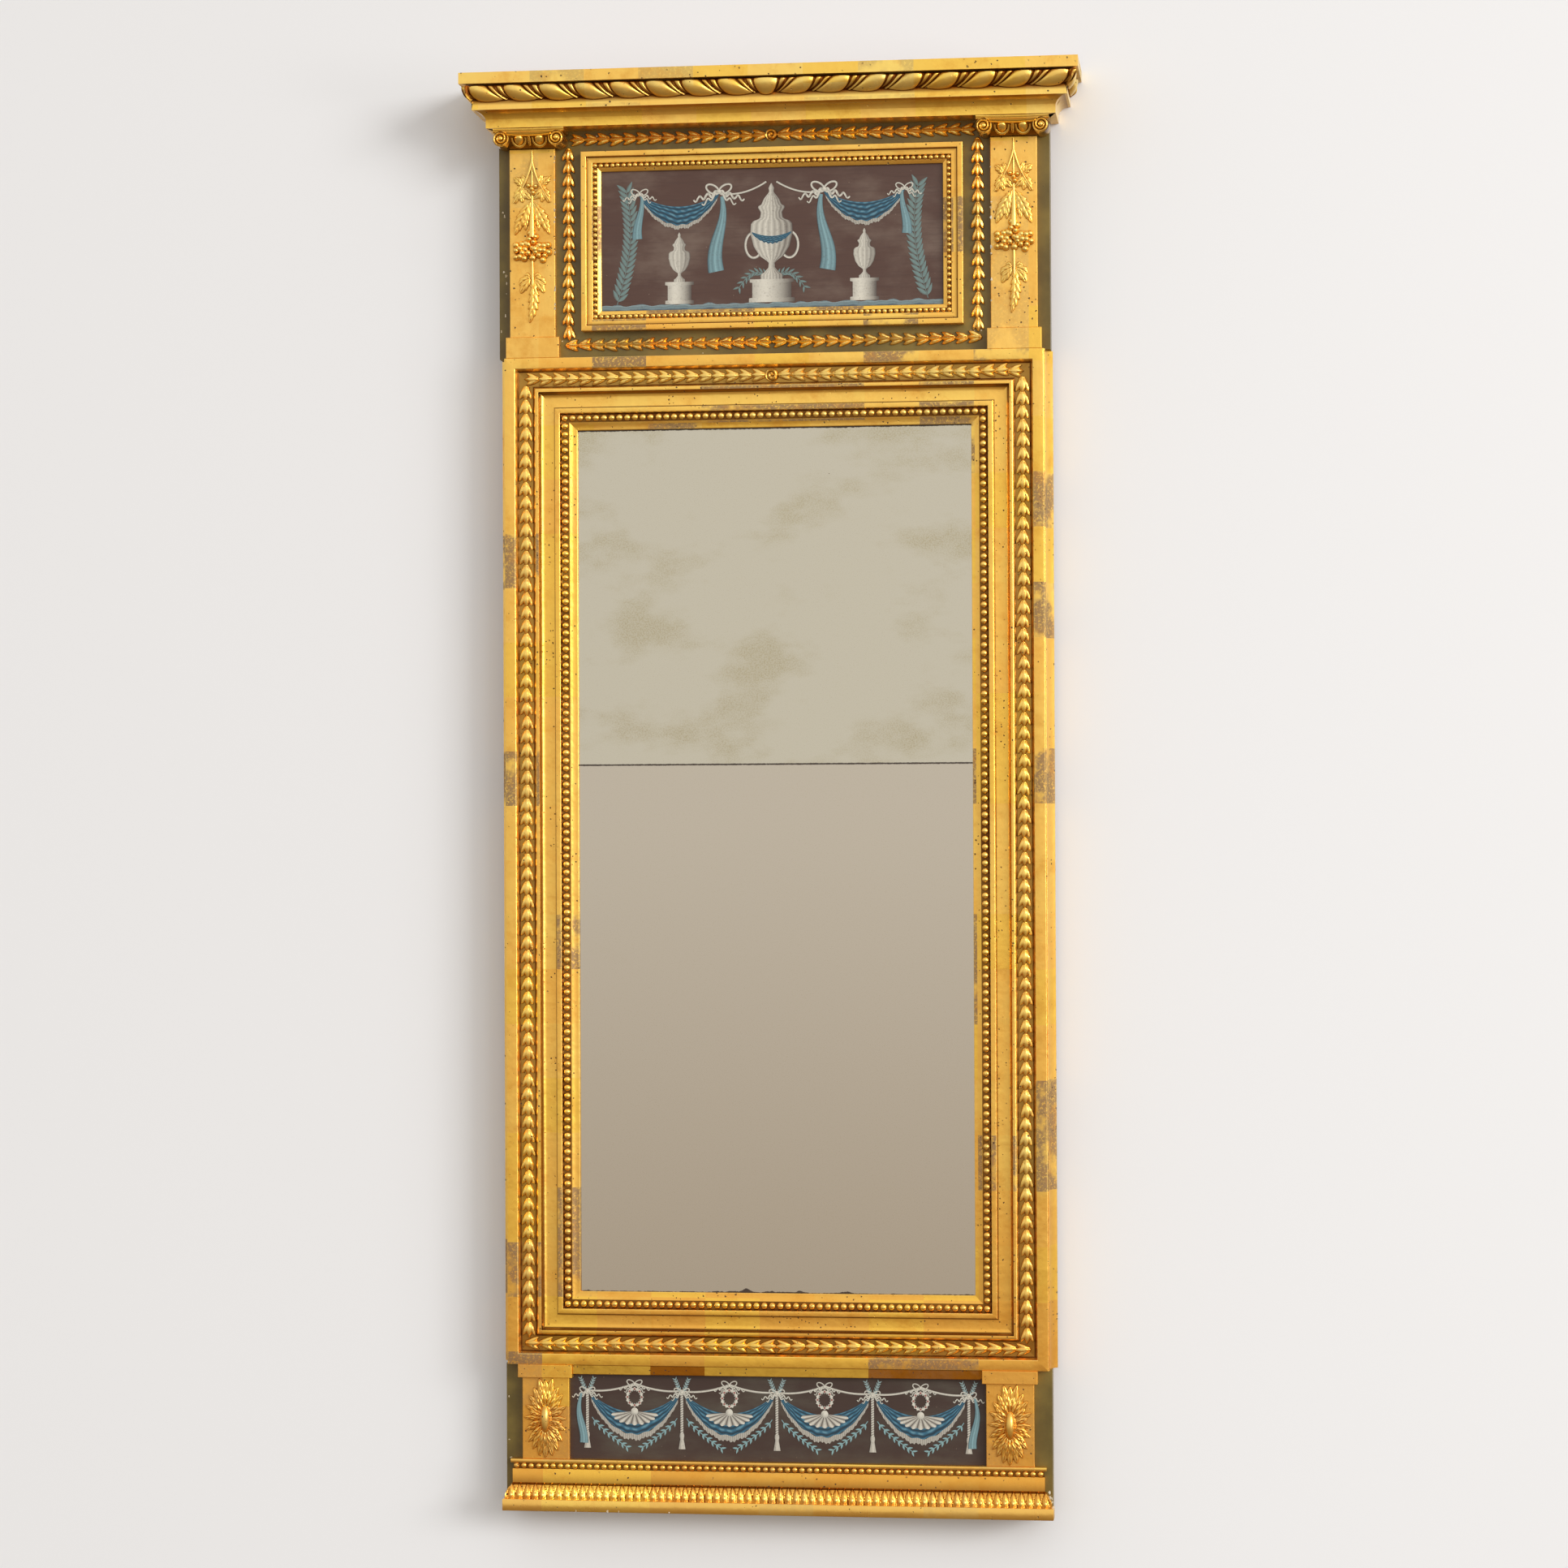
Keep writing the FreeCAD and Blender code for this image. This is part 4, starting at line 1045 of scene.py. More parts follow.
@dataclass
class BandMoulding(Carving):
    """A moulding with one carved band.

    A point's tone in the band is the floor plus 0.95 times its height to the power.
    It is the relief, so the carving's low parts get painted shade and its high ones a painted highlight.
    """

    pitch: float
    carving: float
    tone_floor: float
    tone_power: float

    def outline(self) -> tuple[Array, Array, Array]:
        """The section.

        Returns:
            Points of (reach, height), each one's share of the carved band's height or -1 outside
            it, and its relief.
        """
        raise NotImplementedError

    def pattern(self, place: Array, share: Array) -> Array:
        """The carving's height, 0 to 1.

        Args:
            place: Distance along the run, in pitches.
            share: Height in the band, 0 at its foot and 1 at its head.

        Returns:
            The height.
        """
        raise NotImplementedError

    def carved(self, distance: Array) -> tuple[Array, Array, Array]:
        """The section at places along the run, sunk along its normals where the carving is low.

        Args:
            distance: Distance of each point from the middle of the front, (m, n).

        Returns:
            Reach, height and relief, each (m, n).
        """
        points, share, relief = self.outline()
        band = share >= 0
        slope = np.gradient(points[band], axis=0)
        normals = np.zeros_like(points)
        normals[band] = np.stack([slope[:, 1], -slope[:, 0]], -1) / np.hypot(*slope.T)[:, None]
        height = np.where(band, self.pattern(distance / self.pitch, np.clip(share, 0, 1)), 1.0)
        sunk = (height - 1.0) * self.carving
        tone = np.where(band, self.tone_floor + 0.95 * height**self.tone_power, relief)
        return points[:, 0] + sunk * normals[:, 0], points[:, 1] + sunk * normals[:, 1], tone


@dataclass
class Cornice(BandMoulding):
    """Cornice moulding with a gadrooned ovolo: a front run and two returns that meet in mitres."""

    pitch: float = 42.0
    carving: float = 5.2
    tone_floor: float = 0.02
    tone_power: float = 1.3
    bottom: float = 1619.3
    fascia_depth: float = 70.0
    fascia_half: float = 333.5

    def outline(self) -> tuple[Array, Array, Array]:
        """See BandMoulding; the reach is from the fascia."""
        cavetto = arc((0.2, 10.4), (12.5, 19.0), 13.0, 12)
        before = np.concatenate(
            [[(-9.0, 0.0), (0.0, 0.0), (0.0, 10.0)], cavetto, [(12.5, 19.0), (14.0, 19.2), (14.0, 26.6)]]
        )
        ovolo = np.concatenate([arc((14.0, 27.0), (24.0, 47.7), -17.0, 30), [(24.0, 47.7)]])
        points, share = banded(before, ovolo, [(-9.0, 47.7)])
        relief = np.full(len(points), 0.5)
        # Painted shadow in the cavetto, darker towards the top under the carved band; a painted highlight on the fillet
        # and painted shade at the ovolo's foot.
        relief[3:15] = np.linspace(0.52, 0.20, len(cavetto))
        relief[15:18] = 0.85, 0.85, 0.2
        return points, share, relief

    def pattern(self, place: Array, share: Array) -> Array:
        """Gadrooning, mirrored about the middle lobe.

        Each lobe has an outer edge that curves in towards its foot and an inner edge that sweeps
        down towards the middle, so the lobe trails like a comma. Across it the height is half an
        ellipse. Between two lobes lie two thin reeds, again half ellipses, that fade downwards.
        """
        place, down = np.abs(place), 1.0 - share
        bend = 0.26 * down**2
        number = np.ceil(place - 0.345 + bend)
        middle_edge = 0.345 - 0.17 * down**2
        outer = np.where(number < 0.5, middle_edge, 0.345 + number - bend)
        previous = np.where(number < 1.5, middle_edge, 0.345 + number - 1.0 - bend)
        inner = np.maximum(0.345 + number - 0.50 - 0.52 * down**1.25, previous + 0.05)
        span = np.clip((place - inner) / np.maximum(outer - inner, 0.02), 0.0, 1.0)
        lobe = half_round(2.0 * span - 1.0) ** 0.85 * (0.80 + 0.20 * span)
        gap = np.clip((place - previous) / np.maximum(inner - previous, 0.02), 0.0, 1.0)
        reeds = np.maximum(
            half_round((gap - 0.26) / 0.17) * 0.52 * share**0.6, half_round((gap - 0.76) / 0.17) * 0.50
        )
        centre = half_round(place / np.maximum(middle_edge, 0.01)) ** 0.85
        height = np.where(place < middle_edge, centre, np.where(place >= inner, lobe, reeds))
        ends = np.clip(share / 0.06, 0.0, 1.0) * np.clip((1.0 - share) / 0.10, 0.0, 1.0)
        return height * ends**0.5

    def front(self) -> Form:
        """The front run."""
        reach = self.outline()[0][:, 0]
        across = column(1180, -1.0, 1.0) * (self.fascia_half + reach)
        sunk, height, tone = self.carved(across)
        depth = np.where(reach <= -9.0, BOARD_FRONT, self.fascia_depth + sunk)
        return loft(points_of(across, depth, self.bottom + height), tone)

    def end(self) -> Form:
        """The right-hand return, from the mitre back to the wall."""
        reach = self.outline()[0][:, 0]
        start = self.fascia_depth + reach
        depth = start * (1.0 - column(110))
        sunk, height, tone = self.carved(self.fascia_half + reach + (start - depth))
        return loft(points_of(self.fascia_half + sunk, depth, self.bottom + height), tone)

    def pieces(self) -> dict[str, tuple[str, Form]]:
        """See Carving."""
        end = self.end()
        return {
            "cornice_moulding": ("cornice_front", self.front()),
            "cornice_end_right": ("cornice_return_right", end),
            "cornice_end_left": ("cornice_return_left", end.mirrored()),
        }


@dataclass
class Base(BandMoulding):
    """Base moulding with a band of tongues, its short returns and its row of pearls."""

    pitch: float = 9.34
    carving: float = 3.6
    tone_floor: float = 0.05
    tone_power: float = 1.0
    half_width: float = 322.5
    relief_depth: float = 19.5

    def outline(self) -> tuple[Array, Array, Array]:
        """See BandMoulding; the reach is out from the panel."""
        below = [(0.0, 0.0), (19.0, 0.0), (19.5, 0.6), (19.5, 12.9), (18.9, 13.5)]
        band = np.concatenate([arc((17.5, 13.5), (10.0, 31.5), -24.0, 22), [(10.0, 31.5)]])
        above = [
            (9.3, 31.7), (9.0, 32.1), (9.0, 47.6), (8.6, 48.0), (8.0, 48.2), (8.0, 54.9),
            (10.6, 55.0), (11.0, 55.4), (11.0, 58.9), (10.6, 59.3), (0.0, 59.3),
        ]  # fmt: skip
        points, share = banded(below, band, above)
        relief = np.full(len(points), 0.5)
        # Painted highlight on the plinth's front and the top fillet, painted shade in the bead channel and at the head
        # of the band.
        relief[1:5] = 0.85
        relief[-len(above) :] = 0.2, 0.2, 0.5, 0.12, 0.12, 0.12, 0.8, 0.8, 0.8, 0.8, 0.5
        return points, share, relief

    def pattern(self, place: Array, share: Array) -> Array:
        """A row of upright tongues.

        Each is a pointed arch: half an ellipse across, its width shrinking towards the head, with
        a fine rib up the middle and a round bulb at its foot. A narrow dart fills each gap.
        """
        side = np.abs(np.mod(place, 1.0) - 0.5)
        half = np.maximum(0.47 * (1.0 - share**2.6) ** 0.8, 1e-3)
        tongue = half_round(side / half) * 0.62 + 0.16 * np.exp(-((side / 0.06) ** 2)) * (side < half)
        bulb = half_round(np.hypot(side / 0.30, (share - 0.24) / 0.24))
        dart = half_round((0.5 - side) / np.maximum(0.5 - half, 1e-3)) * 0.40 * (side > half)
        return np.maximum(np.maximum(tongue, bulb), dart) * np.clip((1.0 - share) / 0.05, 0.2, 1.0)

    def run(self) -> Form:
        """The front run with its two ends: the path turns back along each side in a mitre.

        The path is a line of stations. On the front a station lies at some distance across and its
        section stands square to the wall. On an end the section looks sideways, and each of its
        points is as far from the panel's edge as it is from the panel's face on the front.

        Returns:
            The form.
        """
        out = self.outline()[0][:, 0]
        edge = self.half_width - self.relief_depth
        front = column(900, -1.0, 1.0) * (edge + out)
        side_depth = out * (1.0 - column(14)[1:])
        turned = edge + out + (out - side_depth)
        reach, up, tone = self.carved(np.concatenate([-turned[::-1], front, turned]))
        reach, rows = np.maximum(reach, 0.0), len(side_depth)
        across = np.concatenate([-(edge + reach[:rows]), front, edge + reach[-rows:]])
        depth = np.concatenate([side_depth[::-1], reach[rows:-rows], side_depth])
        depth[:, [0, -1]] = 0.0
        return loft(points_of(across, BOARD_FRONT + depth, up), tone)

    def pieces(self) -> dict[str, tuple[str, Form]]:
        """See Carving."""
        beads = BeadRow(7.4, 8.7).run((-307.0, 51.5), (307.0, 51.5), BOARD_FRONT + 8.2)
        return {"base_run": ("base_moulding", self.run()), "base_beads": ("base_bead_strip", beads)}


@dataclass
class SideCoves(Carving):
    """The coved strips down the frame's outer sides: a concave curve carried straight up."""

    half_width: float = 317.0
    bottom: float = 170.2
    top: float = 1351.5

    def pieces(self) -> dict[str, tuple[str, Form]]:
        """See Carving."""
        curve = arc((9.0, 14.0), (1.2, 42.5), 27.0, 16)
        section = np.concatenate([[(0.0, 10.0), (9.0, 10.0)], curve, [(1.2, 42.5), (0.0, 42.5)]])
        outline, relief = eased(section, 0.5)
        heights = column(40, self.bottom, self.top)
        form = loft(points_of(self.half_width + outline[:, 0], outline[:, 1], heights), relief)
        return {"cove_right": ("side_cove_right", form), "cove_left": ("side_cove_left", form.mirrored())}


# ---- Carved ornament ------------------------------------------------------------------------


def directions(path: Array) -> tuple[Array, Array]:
    """Directions along a path in the wall's plane.

    Args:
        path: Points of (across, height), (n, 2).

    Returns:
        At each point, the unit vectors along the path and to the left of it.
    """
    slope = np.gradient(path, axis=0)
    on = slope / np.maximum(np.hypot(*slope.T), 1e-6)[:, None]
    return on, np.stack([-on[:, 1], on[:, 0]], -1)


def leaf(
    foot: Spot, tip: Spot, width: float, thick: float, teeth: int = 5, bite: float = 0.22, curl: float = 0.0
) -> Form:
    """A carved leaf lying on a ground.

    Its half width is a sine over the way from foot to tip, cut back by saw teeth that point to the
    tip. Its height is a low arch across, with a groove along the middle vein and fainter ones that
    slant to the edges. The middle line bends sideways as a parabola.

    Args:
        foot: Across and height of its start.
        tip: Across and height of its point.
        width: Greatest width.
        thick: Greatest height.
        teeth: Teeth along each edge.
        bite: Depth of the teeth, as a share of the half width.
        curl: Sideways bend of the middle line.

    Returns:
        The form.
    """
    start, end = np.array(foot, float), np.array(tip, float)
    length = float(np.hypot(*(end - start)))
    way = (end - start) / length
    share, side = column(6 * teeth + 1), np.linspace(-1.0, 1.0, 13)[None, :]
    saw = 1.0 - bite * (1.0 - np.mod(share * teeth, 1.0))
    half = width / 2.0 * np.sin(math.pi * share**0.85) ** 0.75 * saw
    half[[0, -1]] = 0.0
    along = (share * length + np.abs(side) * half * 0.35)[..., None]
    offset = (side * half + curl * 4.0 * share * (1.0 - share))[..., None]
    spots = start + along * way + offset * np.array([-way[1], way[0]])
    vein = np.exp(-((side / 0.10) ** 2))
    ribs = 0.5 + 0.5 * np.cos(TURN * (share * teeth - np.abs(side) * 0.8))
    arch = half_round(side) ** 0.7
    up = thick * arch * (0.78 + 0.12 * ribs - 0.26 * vein) * (0.55 + 0.45 * np.sin(math.pi * share**0.7))
    # Tone, the relief: painted shade at the edges and in the vein, a painted highlight along the arch.
    tone = np.clip(0.06 + 0.95 * arch * (0.55 + 0.4 * ribs) - 0.38 * vein, 0.0, 1.0)
    return loft(points_of(spots[..., 0], up, spots[..., 1]), tone, (True, True))


def stem(path: Array, radius: Array, ground: float) -> Form:
    """A round stem along a path on a ground, half sunk in it.

    Args:
        path: Points of (across, height), (n, 2).
        radius: Radius at each point, (n,).
        ground: Depth of the ground.

    Returns:
        The form.
    """
    angle, size = circle(10), radius[:, None]
    spots = path[:, None, :] + (size * np.cos(angle))[..., None] * directions(path)[1][:, None, :]
    up = ground + size * (0.7 + np.sin(angle))
    # Painted highlight on top, painted shade down the sides.
    tone = np.clip(0.35 + 0.6 * np.sin(angle), 0.05, 1.0)
    return loft(points_of(spots[..., 0], up, spots[..., 1]), tone)


def dome(spot: Spot, radii: Spot, thick: float, ground: float, rings: int = 7) -> Form:
    """An oval dome: rings that shrink as a cosine while they rise as a sine.

    Args:
        spot: Across and height of its middle.
        radii: Its half width and half height.
        thick: How far it stands out.
        ground: Depth of the ground.
        rings: Rings between crown and foot.

    Returns:
        The form.
    """
    turn, angle = column(rings + 1, 0.0, math.pi / 2.0), circle(18)
    across = spot[0] + radii[0] * np.sin(turn) * np.cos(angle)
    height = spot[1] + radii[1] * np.sin(turn) * np.sin(angle)
    # Tone from the crown to the foot: a painted highlight on top, painted shade where it meets the ground.
    return loft(points_of(across, ground + thick * np.cos(turn), height), np.cos(turn) * 0.95, (True, False))


@dataclass
class Pair(Carving):
    """A carving on both sides of the mirror, drawn round its own origin, which is then placed."""

    across: float
    depth: float
    height: float
    prefix: str
    node: str

    def form(self) -> Form:
        """One carving."""
        raise NotImplementedError

    def pieces(self) -> dict[str, tuple[str, Form]]:
        """See Carving."""
        return {
            f"{self.prefix}_{side}": (f"{self.node}_{side}", self.form().moved(across, self.depth, self.height))
            for side, across in (("left", -self.across), ("right", self.across))
        }


@dataclass
class VineDrop(Pair):
    """A drop of vine carved on a pilaster: forked stem, leaves, two bunches of grapes and a tail."""

    across: float = 283.3
    depth: float = 45.0
    height: float = 1596.0
    prefix: str = "vine"
    node: str = "vine_drop"

    def form(self) -> Form:
        """See Pair."""
        line = column(9)

        def straight(foot: Spot, way: Spot, first: float, last: float, ground: float) -> Form:
            """A straight stem whose radius goes evenly from first to last."""
            return stem(np.array(foot) + line * np.array(way), np.linspace(first, last, 9), ground)

        parts = [straight((0.0, 0.0), (0.0, -47.0), 1.3, 1.3, 0.0)]
        for side in (-1.0, 1.0):
            fork = np.array([0.0, -13.0]) + line * np.array([22.0 * side, -48.0])
            fork[:, 0] -= side * 3.0 * np.sin(math.pi * line[:, 0])
            parts.append(stem(fork, np.linspace(1.6, 1.0, 9), 1.0))
            for foot, tip, width, thick, teeth, bite in (
                ((10.0, -39.0), (20.0, -62.0), 12.0, 3.2, 4, 0.30),
                ((12.0, -42.0), (21.5, -31.0), 11.0, 2.8, 3, 0.26),
                ((10.0, -42.0), (12.0, -28.0), 9.0, 2.6, 3, 0.26),
                ((12.0, -44.0), (1.5, -57.0), 11.0, 2.8, 3, 0.26),
                ((11.0, -44.0), (11.5, -61.0), 10.5, 3.0, 3, 0.26),
                ((1.5, -60.0), (20.5, -99.0), 15.5, 3.6, 6, 0.26),
                ((3.0, -63.0), (8.0, -94.0), 11.0, 3.2, 5, 0.28),
                ((2.0, -150.0), (15.5, -158.0), 12.0, 2.8, 3, 0.20),
                ((2.0, -151.0), (14.0, -168.0), 11.0, 2.8, 3, 0.20),
                ((2.0, -150.0), (10.0, -147.0), 9.0, 2.6, 3, 0.20),
            ):
                ends = (foot[0] * side, foot[1]), (tip[0] * side, tip[1])
                parts.append(leaf(*ends, width, thick, teeth, bite, 1.2 * side))
        for spot in ((0.0, -45.0), (-4.2, -41.0), (4.4, -42.0), (1.6, -49.5)):
            parts.append(dome(spot, (3.1, 3.1), 5.4, 0.0, 5))
        parts.append(straight((0.0, -53.0), (0.0, -49.0), 1.4, 4.2, -0.6))
        parts.append(straight((0.0, -122.0), (0.5, -36.0), 1.6, 1.6, 0.4))
        parts.append(leaf((1.5, -152.0), (-3.5, -203.0), 15.0, 4.0, 6, 0.34, 2.6))
        rng = np.random.default_rng(8)
        for middle, height, count in ((0.0, -108.0, 7), (-13.0, -119.5, 10), (13.0, -119.0, 10), (0.0, -116.0, 3)):
            for number in range(count):
                reach = 8.6 * math.sqrt((number + 0.4) / count)
                turn = 2.4 * number + middle
                spot = (middle + reach * math.cos(turn) * 1.05, height + reach * math.sin(turn) * 1.35)
                size = 4.4 + rng.normal(0, 0.25)
                parts.append(dome(spot, (size, size), 8.4 - 0.32 * reach + rng.uniform(-0.4, 0.6), 0.0, 6))
        return joined(parts)


@dataclass
class Rosette(Pair):
    """Long oval flower on a lower pilaster: two rings of pointed petals round an oval boss."""

    across: float = 272.3
    depth: float = 45.0
    height: float = 107.25
    prefix: str = "sunflower"
    node: str = "rosette"
    radii: Spot = (25.4, 46.8)

    def form(self) -> Form:
        """See Pair."""
        parts: list[Form] = []
        rng = np.random.default_rng(5)
        for ring, (count, reach, thick) in enumerate(((20, 1.0, 3.6), (16, 0.80, 5.2))):
            for number in range(count):
                angle = TURN * (number + 0.5 * ring) / count + rng.normal(0, 0.02)
                way = np.array([math.cos(angle), math.sin(angle)])
                tip = way * np.array(self.radii) * reach * (1.0 + rng.normal(0, 0.03))
                width = 7.0 + 3.6 * abs(float(way[1])) - 0.6 * ring
                parts.append(leaf(way * np.array([5.0, 14.5]), tip, width, thick, 3, 0.03))
        boss = [dome((0.0, 0.0), (8.2, 20.0), 5.2, 0.0), dome((0.0, 0.0), (6.4, 18.0), 9.6, 0.0, 9)]
        return joined([*parts, *boss])


@dataclass
class Capital(Pair):
    """Ionic capital: two volutes, eggs with a dart between them and a hollow-fronted abacus."""

    across: float = 283.3
    depth: float = BOARD_FRONT
    height: float = 1598.0
    prefix: str = "ionic"
    node: str = "capital"
    half_width: float = 42.0
    relief_depth: float = 38.0
    lean: float = 0.62

    def abacus(self) -> Form:
        """The abacus: one section carried across, its front drawn back as a parabola."""
        share = column(33, -1.0, 1.0)
        front = self.relief_depth - 4.2 - 3.0 * (1.0 - share**2)
        steps = np.array([(-9.0, 16.2), (-1.8, 16.2), (-0.5, 17.2), (-0.5, 18.0), (0.0, 18.6), (0.0, 20.8),
                          (-0.6, 21.25)])  # fmt: skip
        fixed = np.array([(20.0, 21.25), (14.0, 21.25), (1.0, 21.2), (1.0, 16.2)])
        depth = np.concatenate([front + steps[:, 0], np.broadcast_to(fixed[:, 0], (33, 4))], axis=1)
        height = np.concatenate([steps[:, 1], fixed[:, 1]])
        # Tones of the steps: painted highlight on the top edges, painted shade in the steps below.
        tone = np.array([0.2, 0.3, 0.7, 0.4, 0.3, 0.9, 0.9, 0.5, 0.3, 0.3, 0.3])
        return loft(points_of(share * self.half_width, depth, height), tone)

    def volute(self) -> Form:
        """The right-hand volute: rings whose height follows a ridge that winds inwards to the eye."""
        ring, angle, eye_share = column(26), circle(40), 0.27
        ridge = 0.5 + 0.5 * np.cos(TURN * (ring * 2.6 + angle / TURN))
        eye = half_round(ring / eye_share)
        face = 33.2 + 2.4 * np.where(ring < eye_share, 0.4 + 0.6 * eye, ridge)
        face = np.where(ring > 0.93, 32.0, face)
        rim = np.ones((1, 40))
        depth = np.concatenate([face, rim])
        # Painted shade in the spiral's groove and round the rim, a painted highlight on the ridge and the eye.
        tone = np.concatenate([np.where(ring < eye_share, eye, ridge), rim * 0.3])
        wide = np.concatenate([ring, [[1.0]]]) * 9.3
        sections = points_of(33.0 + wide * np.cos(angle), depth, 9.0 + wide * np.sin(angle))
        return loft(sections, np.clip(tone, 0.03, 0.98), (True, False))

    def echinus(self) -> Form:
        """The ground behind the eggs: a quarter round carried across."""
        curve = arc((14.0, 0.5), (27.5, 15.5), -19.0, 10)
        section = np.concatenate([[(1.0, 0.5)], curve, [(27.5, 16.4), (1.0, 16.4)]])
        # The ground behind the eggs is left dark: painted shade.
        return loft(points_of(column(3, -31.0, 31.0), section[:, 0], section[:, 1]), 0.12)

    def cushion(self) -> Form:
        """The band between the volutes, with a channel: its section sags a little at the middle."""
        share = column(25, -1.0, 1.0)
        sag = 1.0 - share**2
        steps = np.array([(12.0, 13.6), (33.8, 13.0), (34.8, 13.6), (33.4, 14.8), (34.6, 16.6), (12.0, 16.6)])
        depth = steps[:, 0] - 2.2 * sag * (steps[:, 0] > 20)
        height = steps[:, 1] - 1.6 * sag * np.array([1.0, 1.0, 1.0, 0.8, 0.3, 0.3])
        # Painted highlight on the band's edges, painted shade in its channel.
        return loft(points_of(share * 30.0, depth, height), np.array([0.2, 0.5, 0.95, 0.15, 0.8, 0.3]))

    def egg(self, across: float, half: float) -> list[Form]:
        """An egg and the shell round it.

        The egg is half an ellipsoid, its lower end drawn in. The shell is a round bar that follows
        a U below the egg.

        Args:
            across: Where its middle lies.
            half: Its half width.

        Returns:
            The two forms.
        """
        turn, angle = column(7, 0.0, math.pi / 2.0), circle(20)
        wide = half * np.sin(turn) * np.cos(angle) * (1.0 + 0.14 * np.sin(angle))
        height = 8.0 + 6.4 * np.sin(turn) * np.sin(angle)
        depth = 19.0 + self.lean * height + 7.0 * np.cos(turn)
        # Painted highlight on the egg's crown, painted shade at its rim.
        body = loft(points_of(across + wide, depth, height), np.cos(turn), (True, False))
        sweep = np.linspace(math.pi * 0.96, math.pi * 2.04, 17)
        path = points_of(across + (half + 2.1) * np.cos(sweep), 9.4 + 8.6 * np.sin(sweep))
        shell = stem(path, np.full(17, 1.25), 0.0)
        shell.points[:, 1] += 20.0 + self.lean * shell.points[:, 2]
        return [body, shell]

    def form(self) -> Form:
        """See Pair."""
        volute = self.volute()
        parts = [self.abacus(), self.echinus(), self.cushion(), volute, volute.mirrored()]
        for across in (-12.2, 12.2):
            parts.extend(self.egg(across, 6.0))
        dart = leaf((0.0, 13.5), (0.0, 1.0), 4.4, 3.6, 2, 0.0)
        dart.points[:, 1] += 21.0 + self.lean * dart.points[:, 2]
        return joined([*parts, dart])


# ---- Painted pictures -----------------------------------------------------------------------

WHITE = srgb(218, 214, 200)
GREY = srgb(156, 156, 146)
SHADE = srgb(86, 78, 72)
BLUE = srgb(56, 116, 144)
PALE_BLUE = srgb(138, 176, 182)
DEEP_BLUE = srgb(22, 48, 62)
LEAF_GREEN = srgb(118, 148, 146)
ROSE = srgb(164, 104, 96)

# A footed urn with a lid, from its foot to its finial: shares of its height and its half width.
URN = np.array(
    [
        (0.0, 0.52), (0.05, 0.52), (0.06, 0.40), (0.12, 0.16), (0.17, 0.14), (0.19, 0.24), (0.24, 0.56),
        (0.34, 0.84), (0.48, 1.0), (0.58, 0.97), (0.62, 0.80), (0.63, 0.55), (0.70, 0.50), (0.74, 0.62),
        (0.76, 0.66), (0.77, 0.50), (0.84, 0.36), (0.90, 0.14), (0.92, 0.10), (0.95, 0.14), (1.0, 0.02),
    ]
)  # fmt: skip


def mixed(first: Colour, second: Colour, share: Array) -> Array:
    """Colours between two, one for each share."""
    return np.array(first) * (1 - share)[..., None] + np.array(second) * share[..., None]


